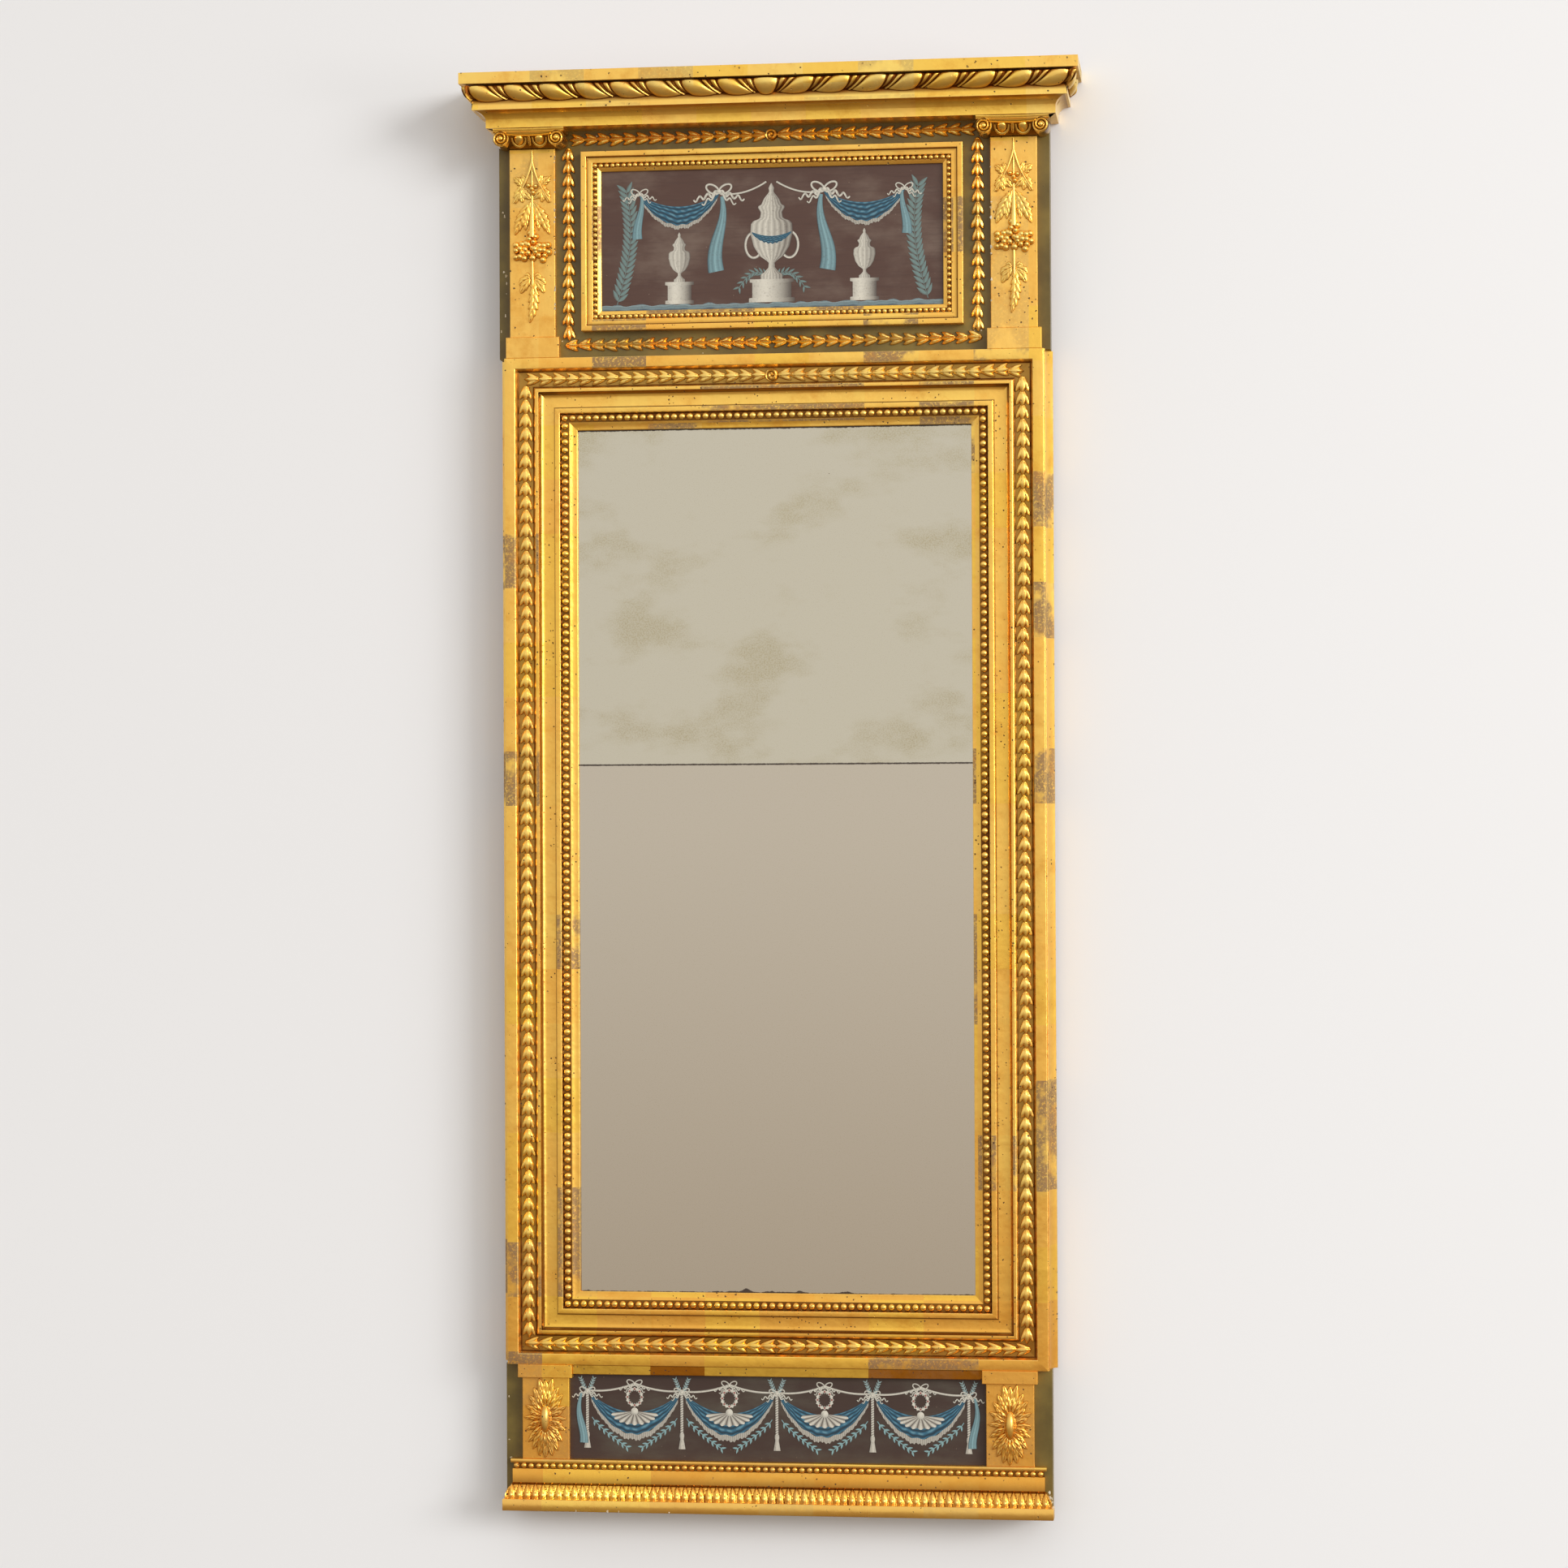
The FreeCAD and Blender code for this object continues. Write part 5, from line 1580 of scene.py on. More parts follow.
@dataclass
class Picture:
    """Painted ornament on a panel: flat strokes, each with a tint at every point."""

    name: str
    middle: float
    depth: float
    lift: float = 0.10
    patches: list[tuple[Array, Array]] = field(default_factory=list)

    def add(self, grid: Array, tint: Array) -> None:
        """Adds one stroke above the last ones.

        Args:
            grid: Points of (across, height), (m, n, 2).
            tint: Colours, (m, n, 3).
        """
        self.lift += 0.0015
        self.patches.append((points_of(grid[..., 0], self.lift, grid[..., 1]), tint))

    def stroke(
        self, path: Array, half: Array | float, light: Colour, dark: Colour, bias: float = -0.35, folds: float = 0.0,
        steps: int = 5, twist: float = 0.0,
    ) -> None:  # fmt: skip
        """A stroke along a path; its tint turns from light to dark across it, as on a round body.

        Args:
            path: Points of (across, height), (n, 2).
            half: Half width at each point, or one for all.
            light: Colour of the lit side.
            dark: Colour of the far side.
            bias: Where across the stroke, -1 to 1, the light lies.
            folds: How many dark folds run along it.
            steps: Points across.
            twist: Turns of a cord's strands from end to end.
        """
        side = np.linspace(-1.0, 1.0, steps)
        width = np.broadcast_to(np.asarray(half, float), (len(path),))[:, None] * side
        grid = path[:, None, :] + width[..., None] * directions(path)[1][:, None, :]
        shade = np.clip(np.abs(side - bias) / 1.3, 0.0, 1.0) ** 1.4
        if folds:
            shade = np.clip(shade * 0.6 + 0.2 + 0.2 * np.cos(folds * math.pi * (side + 1.0)), 0.0, 1.0)
        shade = np.broadcast_to(shade, (len(path), steps))
        if twist:
            strands = np.sin(TURN * column(len(path), 0.0, twist) + side * 1.8)
            shade = np.clip(shade * 0.3 + 0.35 + 0.35 * strands, 0.0, 1.0)
        self.add(grid, mixed(light, dark, shade))

    def sprig(self, path: Array, size: float, light: Colour, dark: Colour) -> None:
        """A thin branch with pairs of pointed leaves along it.

        Args:
            path: The branch, (n, 2).
            size: Length of a leaf.
            light: Lit colour.
            dark: Shaded colour.
        """
        self.stroke(path, 0.45, light, dark, steps=3)
        on, left = directions(path)
        share = column(7)
        half = size * 0.17 * np.sin(math.pi * share[:, 0] ** 0.8) + 0.05
        for spot, way, aside in zip(path[1::2], on[1::2], left[1::2]):
            for side in (-1.0, 1.0):
                blade = spot + share * size * (way * 0.80 + aside * side * 0.62)
                self.stroke(blade, half, light, dark, steps=3)

    def wreath(self, spot: Spot, radius: float, half: float, light: Colour, dark: Colour) -> None:
        """A small wreath: a ring whose edge is cut into leaves and dotted with flowers."""
        turn, tall = np.linspace(0.0, TURN, 49), radius * 1.12
        path = points_of(spot[0] + radius * np.cos(turn), spot[1] + tall * np.sin(turn))
        self.stroke(path, half * (0.75 + 0.35 * np.cos(turn * 16)), light, dark)
        for angle in circle(8)[0]:
            flower = (spot[0] + radius * math.cos(angle), spot[1] + tall * math.sin(angle))
            self.disc(flower, half * 0.55, ROSE)

    def disc(self, spot: Spot, radius: float, colour: Colour) -> None:
        """A round dab of colour."""
        ring, turn = column(3, 0.02), np.linspace(0.0, TURN, 13)
        grid = points_of(spot[0] + radius * ring * np.cos(turn), spot[1] + radius * ring * np.sin(turn))
        shade = 1.0 - 0.45 * ring * (0.5 - 0.5 * np.cos(turn - 0.8))
        self.add(grid, np.array(colour) * shade[..., None])

    def turned_body(self, spot: Spot, profile: Array, flutes: float = 0.0) -> None:
        """A vessel or post, shaded as a round body: half widths along an upright middle line.

        Args:
            spot: Across and height of its foot.
            profile: Points of (height above the foot, half width), (n, 2).
            flutes: Number of upright folds.
        """
        heights = np.linspace(profile[0, 0], profile[-1, 0], 60)
        half = np.interp(heights, profile[:, 0], profile[:, 1])
        self.stroke(points_of(spot[0], spot[1] + heights), half, WHITE, SHADE, 0.35, flutes, 15)

    def bow(self, spot: Spot, size: float) -> None:
        """A ribbon bow: two twisted streamers, two loops, two tails that ripple as a sine, a knot."""
        long, short, turn = np.linspace(0.0, 1.0, 41), np.linspace(0.0, 1.0, 25), np.linspace(0.0, TURN, 25)
        streamer = points_of(0.10 + 1.9 * long, 0.17 * np.sin(long * 19.0) - 0.10 - 0.55 * long)
        loop = points_of(0.496 * (1.0 - np.cos(turn)), 0.34 * np.sin(turn) + 0.18 * (1.0 - np.cos(turn)))
        tail = points_of(0.15 + 1.2 * short, 0.16 * np.sin(short * 13.0) - 0.25 - 0.75 * short)
        for side in (-1.0, 1.0):
            for line, half, *look in (
                (streamer, 0.10 * (1.1 - 0.5 * long), 0.0, 0.0, 5, 6.0),
                (loop, 0.075, -0.35, 0.0, 3),
                (tail, 0.085 * (1.15 - 0.6 * short), -0.35, 0.0, 3),
            ):
                path = np.array(spot) + line * np.array([side * size, size])
                self.stroke(path, size * half, WHITE, GREY, *look)
        self.disc(spot, size * 0.16, WHITE)

    def swag(self, left: Spot, right: Spot, sag: float, drop: float, fringe: float = 0.0) -> None:
        """Cloth hung between two points, with folds that gather at both.

        Its upper and lower edges are parabolas; the folds are bright and dark waves between them,
        and the fringe a strip of threads below the lower edge, scalloped by a small wave.

        Args:
            left: Where it hangs on the left.
            right: Where it hangs on the right.
            sag: Sag of the upper edge.
            drop: Sag of the lower edge.
            fringe: Length of the fringe's threads.
        """

        def hung(run: Array, wave: float, waves: float) -> tuple[Array, Array, Array, Array]:
            """Across, the straight line's height, the hang of 0 to 1 and the cloth's lower edge."""
            hang = 4.0 * run * (1.0 - run)
            line = left[1] + (right[1] - left[1]) * run
            low = line - drop * hang**0.92 - 2.4 + wave * np.sin(run * TURN * waves) * hang
            return left[0] + (right[0] - left[0]) * run, line, hang, low

        run, share = column(61), np.linspace(0.0, 1.0, 31)
        across, line, hang, lower = hung(run, 0.7, 9.0)
        upper = line - sag * hang - 0.6
        crossing = 0.55 * np.sin(run * 9.0 + 1.0) + 0.35 * np.sin(run * 21.0)
        fold = 0.5 + 0.5 * np.sin(TURN * (share**0.8 * 4.2 + crossing * share * (1 - share) * 1.6))
        fold = np.clip(fold * (0.55 + 0.45 * np.sin(run * 33.0 + share * 9.0) ** 2) * 1.25, 0.0, 1.0)
        gleam = (np.clip(fold - 0.86, 0.0, 1.0) * 3.0 * hang)[..., None]
        tint = mixed(DEEP_BLUE, BLUE, fold) * (1 - gleam) + np.array(PALE_BLUE) * gleam
        self.add(points_of(across, upper + (lower - upper) * share), tint)
        if fringe:
            run, share = column(181, 0.02, 0.98), np.linspace(0.0, 1.0, 3)
            across, _, hang, lower = hung(run, 0.9, 7.0)
            tip = fringe * (0.35 + 0.65 * hang**0.5) * (1.0 + 0.12 * np.sin(run * 150.0))
            thread = 0.5 + 0.5 * np.sin(run * 410.0 + share)
            self.add(points_of(across, lower - share * tip), mixed(SHADE, WHITE, thread))

    def shell(self, spot: Spot, radius: float, rays: int = 9) -> None:
        """A half-open fan that hangs down: rays from its middle, with a scalloped rim."""
        turn, ring = column(12 * rays + 1, math.pi * 1.04, math.pi * 1.96), np.linspace(0.16, 1.0, 5)
        wave = 0.5 - 0.5 * np.cos(TURN * rays * (turn - turn[0]) / (turn[-1] - turn[0]))
        reach = radius * ring * (1.0 + 0.10 * (wave - 1.0) * ring)
        grid = points_of(spot[0] + 1.75 * reach * np.cos(turn), spot[1] + reach * np.sin(turn))
        self.add(grid, mixed(SHADE, WHITE, wave**0.6 * (0.55 + 0.45 * ring)))
        self.disc(spot, radius * 0.26, WHITE)

    def tassel(self, spot: Spot, length: float) -> None:
        """A twisted cord with a tassel at its end."""
        end, share = spot[1] - length * 0.72, np.linspace(0.0, 1.0, 12)
        cord = points_of(spot[0], spot[1] - np.linspace(0.0, 1.0, 140) * length * 0.72)
        self.stroke(cord, 1.7, WHITE, SHADE, 0.2, 0.0, 7, 17.0)
        half = np.interp(share, [0, 0.25, 0.3, 1.0], [2.4, 2.9, 1.9, 4.2])
        self.stroke(points_of(spot[0], end - share * length * 0.28), half, WHITE, SHADE, 0.2, 4.0, 9)

    def build(self, material: Material) -> None:
        """Makes the mesh of all the strokes, each a thin sheet of paint just above the last.

        Args:
            material: Finish.
        """
        points, tints, faces, count = [], [], [], 0
        for grid, tint in self.patches:
            rows, columns = grid.shape[:2]
            row, place = np.meshgrid(np.arange(rows - 1), np.arange(columns - 1), indexing="ij")
            corner = (row * columns + place).reshape(-1)
            quads = np.stack([corner, corner + 1, corner + columns + 1, corner + columns], -1)
            flat = grid.reshape(-1, 3)
            first, second = (flat[quads[:, number]] - flat[quads[:, 0]] for number in (1, 3))
            inward = (first[:, 0] * second[:, 2] - first[:, 2] * second[:, 0]) < 0
            quads[inward] = quads[inward][:, ::-1]
            points.append(flat)
            tints.append(tint.reshape(-1, 3))
            faces.append(quads + count)
            count += len(flat)
        placed = np.concatenate(points) + np.array([0.0, self.depth, self.middle])
        form = Form(placed, faces, np.full(count, 0.5), [True] * len(faces))
        piece = make_piece(self.name, form, material)
        colours = np.concatenate([np.concatenate(tints), np.ones((count, 1))], axis=1)
        layer = piece.data.color_attributes.new("tint", "FLOAT_COLOR", "POINT")
        layer.data.foreach_set("color", colours.astype(np.float32).ravel())


def paint_upper_picture(material: Material) -> None:
    """Upper panel: a fluted urn between draped bows, small vases under swags and laurel boughs.

    Args:
        material: Finish of the ornament.
    """
    art = Picture("upper_picture_ornament", 1487.3, 40.9)
    run, ribbon = np.linspace(-1.0, 1.0, 121), np.linspace(0.0, 1.0, 31)
    few, fewer, handle = run[::4], ribbon[::2], np.linspace(-2.3, 1.9, 31)
    for low, half, light, dark in (
        (-81.0, 5.2, srgb(120, 142, 148), srgb(78, 92, 98)),
        (-77.0, 1.2, srgb(140, 160, 164), srgb(92, 108, 112)),
        (-82.5, 1.5, srgb(70, 92, 108), srgb(60, 70, 78)),
    ):
        path = points_of(run * 203.0, low + 0.5 * np.sin(run * 31.0) + 0.4 * np.sin(run * 83.0))
        art.stroke(path, half * (1 + 0.25 * np.sin(run * 47.0)), light, dark, 0.6, 2.0, 7)
    for side in (-1.0, 1.0):
        art.swag((62.0 * side, 54.0), (156.0 * side, 54.0), 14.0, 34.0, 4.5)
        bough = points_of(side * (183.0 - 16.0 * np.sin(run[::3] * 1.2 + 1.2)), np.linspace(-74.0, 60.0, 41))
        art.sprig(bough, 15.0, LEAF_GREEN, SHADE)
        plinth = np.array([(0, 17), (4, 17), (4.1, 14), (22, 14), (22.1, 17), (26, 17)])
        art.turned_body((side * 109.0, -75.0), plinth)
        art.turned_body((side * 109.0, -49.0), URN * (58.0, 13.0), 5.0)
        for across, sway, waves, bottom, widths, steps in (
            (62.0, 5.0, 2.4, -38.0, [2.0, 8.0, 9.5], 11),
            (156.0, 3.0, 2.0, 2.0, [1.6, 5.0, 6.0], 9),
        ):
            top = 50.0 if across < 100.0 else 52.0
            cloth = points_of(side * (across + sway * np.sin(few * waves)), np.linspace(top, bottom, 31))
            half = np.interp(ribbon, [0, 0.7, 1], widths)
            art.stroke(cloth, half, PALE_BLUE, DEEP_BLUE, 0.1, 3.0, steps)
        line = points_of(side * (6.0 + 56.0 * ribbon), 66.0 - 12.0 * ribbon - 24.0 * ribbon * (1 - ribbon))
        art.stroke(line, 1.0, WHITE, GREY, steps=3)
        art.bow((62.0 * side, 56.0), 15.0)
        art.bow((156.0 * side, 55.0), 10.0)
        loop = points_of(side * (21.0 + 10.0 * np.cos(handle)), -8.0 + 15.0 * np.sin(handle))
        art.stroke(loop, 1.5, WHITE, SHADE)
        spray = points_of(side * (4.0 + 34.0 * fewer), -44.0 + 14.0 * np.sin(fewer * 2.6) - 20.0 * fewer)
        art.sprig(spray, 8.0, LEAF_GREEN, SHADE)
    art.turned_body((0.0, -75.0), np.array([(0, 27), (5, 27), (5.1, 23), (23, 23), (23.1, 26), (27, 26)]))
    art.turned_body((0.0, -48.0), URN * (112.0, 25.0), 7.0)
    art.swag((-23.0, 8.0), (23.0, 8.0), 5.0, 12.0)
    art.build(material)


def paint_lower_picture(material: Material) -> None:
    """Lower panel: a border of cloth festoons on corded tassels, with bows, wreaths and sprigs.

    Args:
        material: Finish of the ornament.
    """
    art = Picture("lower_picture_ornament", 109.2, 37.6)
    posts = [float(post) for post in np.linspace(-224.0, 224.0, 5)]
    top, run = 29.0, np.linspace(0.0, 1.0, 31)
    few, fewer = run[::2], run[::3]
    for left, right in zip(posts[:-1], posts[1:]):
        middle = (left + right) / 2.0
        for start in (left, right):
            line = points_of(start + (middle - start) * run, top + 2.0 + 8.0 * run**1.5 - 10.0 * run * (1 - run))
            art.stroke(line, 1.25, WHITE, SHADE)
            branch = points_of(start + (middle - start) * (0.10 + 0.72 * few), top - 30.0 - 34.0 * few**0.8)
            art.sprig(branch, 6.4, PALE_BLUE, LEAF_GREEN)
        art.swag((left + 2.5, top - 1.0), (right - 2.5, top - 1.0), 22.0, 46.0, 6.5)
        art.shell((middle, top - 22.5), 16.5)
        art.wreath((middle, top - 6.0), 8.4, 2.3, WHITE, GREY)
        art.bow((middle, top + 9.0), 9.0)
    for post in posts:
        art.tassel((post, top), 66.0)
        for side in (-1.0, 1.0):
            tip = points_of(post + side * (2.0 + 6.0 * fewer), top + 1.0 + 15.0 * fewer)
            art.sprig(tip, 4.2, PALE_BLUE, GREY)
        art.disc((post, top + 1.0), 2.6, WHITE)
        art.bow((post, top), 9.0)
    for side in (-1.0, 1.0):
        cloth = points_of(side * (231.0 + 3.0 * np.sin(run * 5.0)), top - 2.0 - 58.0 * run)
        half = np.interp(run, [0, 0.6, 1], [1.2, 4.2, 5.0])
        art.stroke(cloth, half, PALE_BLUE, DEEP_BLUE, 0.1, 3.0, 7)
    art.build(material)


# ---- Back, stage, light and camera ----------------------------------------------------------


def fixings(iron: Material) -> None:
    """Screws of the hanging plate and nails of the battens: low domes that stand towards the wall.

    Args:
        iron: Their finish.
    """
    screws = [(0.0, height, 4.2) for height in (1564.0, 1586.0)]
    nails = [
        (side * across, height, 3.0)
        for side in (-1.0, 1.0)
        for height in (60.0, 130.0, 210.0, 500.0, 800.0, 1100.0, 1310.0, 1400.0, 1480.0, 1570.0)
        for across in (264.0, 286.0)
    ]
    for name, heads in (("plate_screws", screws), ("batten_nails", nails)):
        domes = [dome((across, height), (radius, radius), -0.9, 0.95, 4) for across, height, radius in heads]
        make_piece(name, joined(domes), iron)


@dataclass
class GessoChips:
    """Flakes of leaf and paint that are gone: thin white islands of bare gesso along worn edges.

    A line is (across, height) of its start and of its end, its depth, how many flakes lie along
    it and how far they stray sideways.
    """

    lines: tuple[tuple[float, ...], ...] = (
        (-256.6, 1392.0, -256.6, 1590.0, 45.0, 15, 0.35),
        (256.8, 1400.0, 256.8, 1585.0, 45.0, 8, 0.35),
        (-230.0, 1612.0, -20.0, 1614.0, 36.0, 14, 2.2),
        (318.0, 33.0, 322.0, 14.0, 55.2, 7, 1.2),
        (-318.0, 1380.0, -318.0, 1560.0, 36.0, 7, 2.0),
        (-250.0, 1.2, -60.0, 1.2, 55.4, 4, 0.4),
        (-312.0, 20.0, -318.0, 140.0, 36.0, 5, 1.5),
        (228.0, 1372.0, 250.0, 1376.0, 36.0, 4, 2.5),
    )

    def build(self, material: Material) -> None:
        """Makes the flakes.

        Each is an oval dome 0.3 mm high whose radius wavers as two sines of the angle, and none
        reaches below the base's underside.

        Args:
            material: The gesso.
        """
        rng = np.random.default_rng(21)
        flakes: list[Form] = []
        for first, low, last, high, depth, count, spread in self.lines:
            for share in rng.uniform(0.0, 1.0, int(count)):
                spot = (first + (last - first) * share + rng.normal(0, spread), low + (high - low) * share)
                flake = dome(spot, (rng.uniform(0.5, 1.3), rng.uniform(0.6, 2.4)), 0.3, depth - 0.02, 2)
                away = flake.points[:, [0, 2]] - np.array(spot)
                turn = np.arctan2(away[:, 1], away[:, 0])
                waver = 1.0 + 0.25 * np.sin(3.0 * turn + share * 20.0) + 0.15 * np.sin(5.0 * turn)
                flake.points[:, [0, 2]] = np.array(spot) + away * waver[:, None]
                flake.points[:, 2] = np.maximum(flake.points[:, 2], 0.05)
                flakes.append(flake)
        make_piece("gesso_chips", joined(flakes), material)


def dress_nodes(finishes: dict[str, Material]) -> None:
    """Gives every CAD node that stays in view its finish.

    Args:
        finishes: Materials by the start of the nodes' names.
    """
    for name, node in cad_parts.items():
        chosen = [finishes[start] for start in finishes if name.startswith(start)]
        if chosen:
            node.data.materials.clear()
            node.data.materials.append(chosen[0])
            log.info("%s: %s", name, chosen[0].name)


def backdrop() -> None:
    """The pale wall behind the mirror. Only the eye in the room meets it, so the back gets light too."""
    size, behind = 6.0, 0.0012
    mesh = bpy.data.meshes.new("wall")
    corners = [(-size, behind, -size), (size, behind, -size), (size, behind, size), (-size, behind, size)]
    mesh.from_pydata(corners, [], [(0, 1, 2, 3)])
    s = Shader(bpy.data.materials.new("wall_plaster"))
    plain = s.node("ShaderNodeBsdfPrincipled", {"Base Color": srgb(239, 240, 242), "Roughness": 0.9})
    clear = s.node("ShaderNodeBsdfTransparent")
    from_back = Value(s, s.node("ShaderNodeNewGeometry").outputs["Backfacing"])
    seen = Value(s, s.node("ShaderNodeLightPath").outputs["Is Camera Ray"]) * (1.0 - from_back)
    mixed_in = s.node("ShaderNodeMixShader", {0: seen, 1: clear.outputs[0], 2: plain.outputs[0]})
    s.node("ShaderNodeOutputMaterial", {"Surface": mixed_in.outputs[0]})
    mesh.materials.append(s.owner)
    wall = bpy.data.objects.new("wall", mesh)
    bpy.context.scene.collection.objects.link(wall)


@dataclass(frozen=True)
class Studio:
    """Plain soft light: a pale room with a warm floor and a window's soft light from the right."""

    pale: Colour = (0.93, 0.925, 0.91)
    floor: Colour = (0.20, 0.13, 0.07)
    below: Colour = (0.44, 0.34, 0.24)
    level: Colour = (0.93, 0.92, 0.89)
    above: Colour = (1.0, 1.0, 1.0)
    daylight: Colour = (1.0, 0.99, 0.975)
    soft_share: float = 0.92
    dark_side: float = 0.82
    key_strength: float = 1.25
    key_spread: float = 22.0
    key_from: Colour = (0.80, -0.56, 0.24)
    fill_power: float = 40.0
    window_power: float = 26.0

    def lamp(self, name: str, spot: Colour, aim: Colour, size: float, power: float, colour: Colour) -> None:
        """One square area lamp.

        Args:
            name: Its name.
            spot: Where it stands.
            aim: Where it points.
            size: Side of its square.
            power: Watts.
            colour: Its colour.
        """
        light = bpy.data.lights.new(name, "AREA")
        light.shape, light.size, light.energy, light.color = "SQUARE", size, power, colour
        lamp = bpy.data.objects.new(name, light)
        lamp.location = spot
        lamp.rotation_euler = (Vector(aim) - Vector(spot)).to_track_quat("-Z", "Y").to_euler()
        bpy.context.scene.collection.objects.link(lamp)

    def room(self) -> None:
        """The room round the mirror: its colour goes by height, and it is paler to the eye than as a lamp."""
        world = bpy.data.worlds.new("room")
        bpy.context.scene.world = world
        s = Shader(world)
        direction = s.node("ShaderNodeTexCoord").outputs["Generated"]
        share = s.axis(direction, 2).mapped(-1.0, 1.0, 0.0, 1.0)
        ramp = s.node("ShaderNodeValToRGB", {0: share})
        elements = ramp.color_ramp.elements
        stops = ((0.0, self.floor), (0.36, self.below), (0.5, self.level), (0.66, self.above))
        for number, (place, colour) in enumerate(stops):
            stop = elements[number] if number < 2 else elements.new(place)
            stop.position, stop.color = place, (*colour, 1.0)
        path = s.node("ShaderNodeLightPath").outputs
        seen = s.maths("MAXIMUM", path["Is Camera Ray"], path["Is Transmission Ray"])
        strength = s.maths("MAXIMUM", seen, path["Is Glossy Ray"]).mapped(0.0, 1.0, self.soft_share, 1.0)
        strength = strength * s.axis(direction, 0).mapped(-0.75, 0.10, self.dark_side, 1.0)
        lit = s.node("ShaderNodeBackground", {0: ramp.outputs[0], 1: strength}).outputs[0]
        plain = s.node("ShaderNodeBackground", {0: self.pale}).outputs[0]
        surface = s.node("ShaderNodeMixShader", {0: seen, 1: lit, 2: plain}).outputs[0]
        s.node("ShaderNodeOutputWorld", {0: surface})

    def build(self) -> None:
        """Lights the scene."""
        self.room()
        self.lamp("fill", (3.4, -4.6, 0.9), (0.3, 0.0, -0.8), 2.0, self.fill_power, (1.0, 0.995, 0.985))
        self.lamp("window", (4.2, -2.0, -0.55), (0.0, 0.0, -0.8), 1.1, self.window_power, self.daylight)
        light = bpy.data.lights.new("key", "SUN")
        light.energy, light.angle, light.color = self.key_strength, math.radians(self.key_spread), self.daylight
        key = bpy.data.objects.new("key", light)
        key.rotation_euler = Vector(self.key_from).to_track_quat("Z", "Y").to_euler()
        bpy.context.scene.collection.objects.link(key)


@dataclass(frozen=True)
class PhotoCamera:
    """The camera's place, its turns in radians and its lens in millimetres on a 36 mm sensor."""

    spot: Colour = (0.5467, -4.3462, -0.81595)
    yaw: float = 0.1236
    pitch: float = 0.0104
    roll: float = 0.0043
    lens: float = 85.41

    def build(self) -> None:
        """Makes the camera from its three axes: turned aside, then up, then rolled."""
        right = Vector((math.cos(self.yaw), math.sin(self.yaw), 0.0))
        level = Vector((-math.sin(self.yaw), math.cos(self.yaw), 0.0))
        up = Vector((0.0, 0.0, 1.0))
        ahead = level * math.cos(self.pitch) + up * math.sin(self.pitch)
        raised = up * math.cos(self.pitch) - level * math.sin(self.pitch)
        side = right * math.cos(self.roll) - raised * math.sin(self.roll)
        top = right * math.sin(self.roll) + raised * math.cos(self.roll)
        turn = Matrix((side, top, -ahead)).transposed()
        data = bpy.data.cameras.new("camera")
        data.sensor_width, data.lens = 36.0, self.lens
        data.clip_start, data.clip_end = 0.05, 60.0
        camera = bpy.data.objects.new("camera", data)
        camera.matrix_world = Matrix.Translation(self.spot) @ turn.to_4x4()
        bpy.context.scene.collection.objects.link(camera)
        bpy.context.scene.camera = camera


def named(prefix: str, rails: bool = False) -> dict[Side, str]:
    """CAD node names of four pieces round a rectangle.

    Args:
        prefix: Start of their names.
        rails: Whether they are frame members, called rails and stiles.

    Returns:
        A name for each side.
    """
    kinds = {Side.TOP: "rail_", Side.BOTTOM: "rail_", Side.LEFT: "stile_", Side.RIGHT: "stile_"}
    return {side: f"{prefix}_{kind if rails else ''}{side.name.lower()}" for side, kind in kinds.items()}


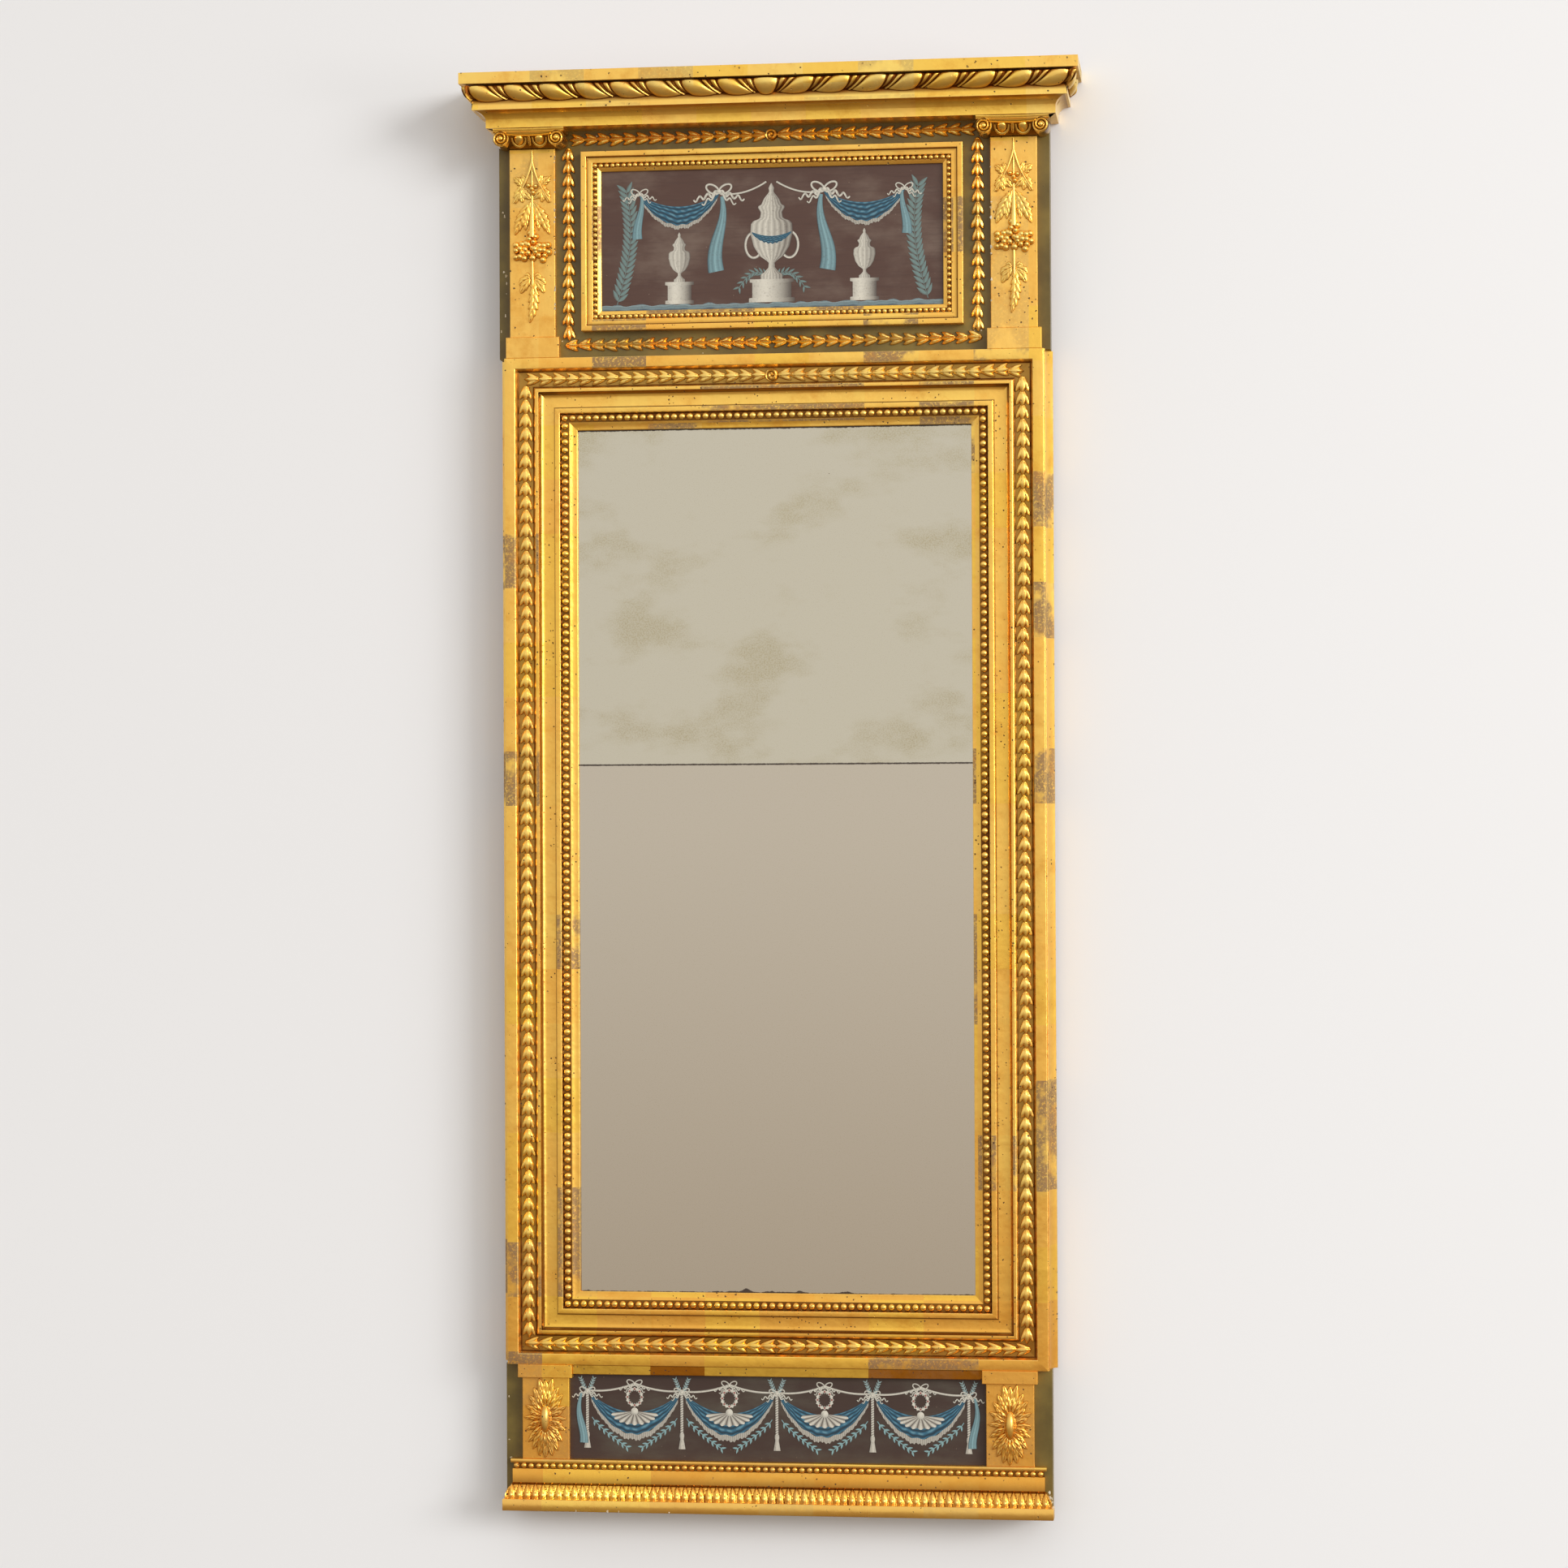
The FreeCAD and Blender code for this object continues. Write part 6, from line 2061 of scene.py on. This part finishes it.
def main() -> None:
    """Builds the mirror's looks, piece by piece, and the studio round it."""
    bpy.context.scene.view_settings.view_transform = "Standard"
    PhotoCamera().build()

    matt = {"bright": srgb(255, 210, 112), "mellow": srgb(248, 188, 86), "roughness": 0.34, "wear": 0.22}
    # Painted light: the cornice and its cap get brighter gold and paler hollows than the rest of the gilding.
    warm = {"bright": srgb(255, 220, 118), "mellow": srgb(255, 194, 88), "hollow": srgb(124, 66, 12)}
    # The panel rail's gilding is painted darker: painted shadow under the frame's overhang.
    shaded = {"bright": srgb(190, 122, 28), "mellow": srgb(162, 96, 14), "aged_and_shaded": srgb(132, 74, 10)}
    clean = {"carved": True, "specks": 0.16, "wear": 0.25}
    plain = Gilding("gold_leaf_flat", **matt).material()
    moulded = Gilding("gold_leaf_moulded", carved=True, wear=0.85).material()
    carved = Gilding("gold_leaf_carved", roughness=0.16, **clean).material()
    cornice = Gilding("gold_leaf_cornice", roughness=0.18, **clean, **warm).material()
    green = Paint("olive_paint").material()
    pine, cross_pine = Timber("pine_upright").material(), Timber("pine_cross", (2.4, 40.0, 40.0)).material()
    iron = Iron("forged_iron").material()
    lower_ground = PictureGround("picture_ground_lower", srgb(62, 44, 36), srgb(86, 80, 68))
    dress_nodes(
        {
            "upper_board": green,
            "lower_board": green,
            "mirror_plate_upper": MirrorGlass("mirror_foxed").material(),
            "mirror_plate_lower": MirrorGlass("mirror_plain", srgb(200, 189, 172), foxed=False).material(),
            "painted_panel_upper": PictureGround("picture_ground_upper").material(),
            "painted_panel_lower": lower_ground.material(),
            "cross_batten": cross_pine,
            "back_batten": pine,
            "backing_board": pine,
            "hanging_plate": iron,
            "cornice_cap_board": Gilding("gold_leaf_cap", wear=0.35, bare_top=True, **warm).material(),
            "plinth": plain,
            "pilaster": plain,
            "impost": plain,
            "panel_rail": Gilding("gold_leaf_rail", wear=0.2, **shaded).material(),
        }
    )

    # Painted shade in recessed channels: on the glazed frame the husk channel, a line at the top of the scotia, the
    # scotia and the bead channel; on the picture frame its bead channel.
    shaded_channels = ((15.2, 34.2, 0.18), (39.9, 43.2, 0.14), (43.2, 58.6, 0.47), (65.8, 75.6, 0.08))
    small = (224.5, 1382.0, 1592.8, named("picture_frame", True), PICTURE_SECTION, 0.5, 24, ((14.0, 19.2, 0.04),))
    garland = (241.0, 1366.8, 1608.8, named("garland"), 36.0, 15.0, 13.4, 5.5, 238.0, 1606.0, 2)
    for work, finish in (
        (FrameRun("main_frame", 317.0, 170.2, 1351.5, named("frame", True), FRAME_SECTION, shaded_channels=shaded_channels), moulded),
        (FrameRun("small_frame", *small), moulded),
        (SideCoves(), moulded),
        (HuskChain("husks", 292.25, 194.95, 1326.75, named("husk_strip"), 42.0, 16.2, 14.6, 5.2), carved),
        (HuskChain("garland_husks", *garland), carved),
        (BeadFrame("beads", 246.25, 240.95, 1280.75, named("bead_strip"), BeadRow(8.2, 9.35), 38.5), carved),
        (BeadFrame("small_beads", 207.9, 1398.6, 1576.2, named("picture_bead"), BeadRow(5.7, 6.8), 45.6), carved),
        (Cornice(), cornice),
        (Base(), carved),
        (Capital(), carved),
        (VineDrop(), carved),
        (Rosette(), carved),
    ):
        work.build(finish)
    colours = PictureColours("picture_colours").material()
    paint_upper_picture(colours)
    paint_lower_picture(colours)
    GessoChips().build(Gesso("bare_gesso").material())
    fixings(iron)
    backdrop()
    Studio().build()


if __name__ == "__main__":
    main()
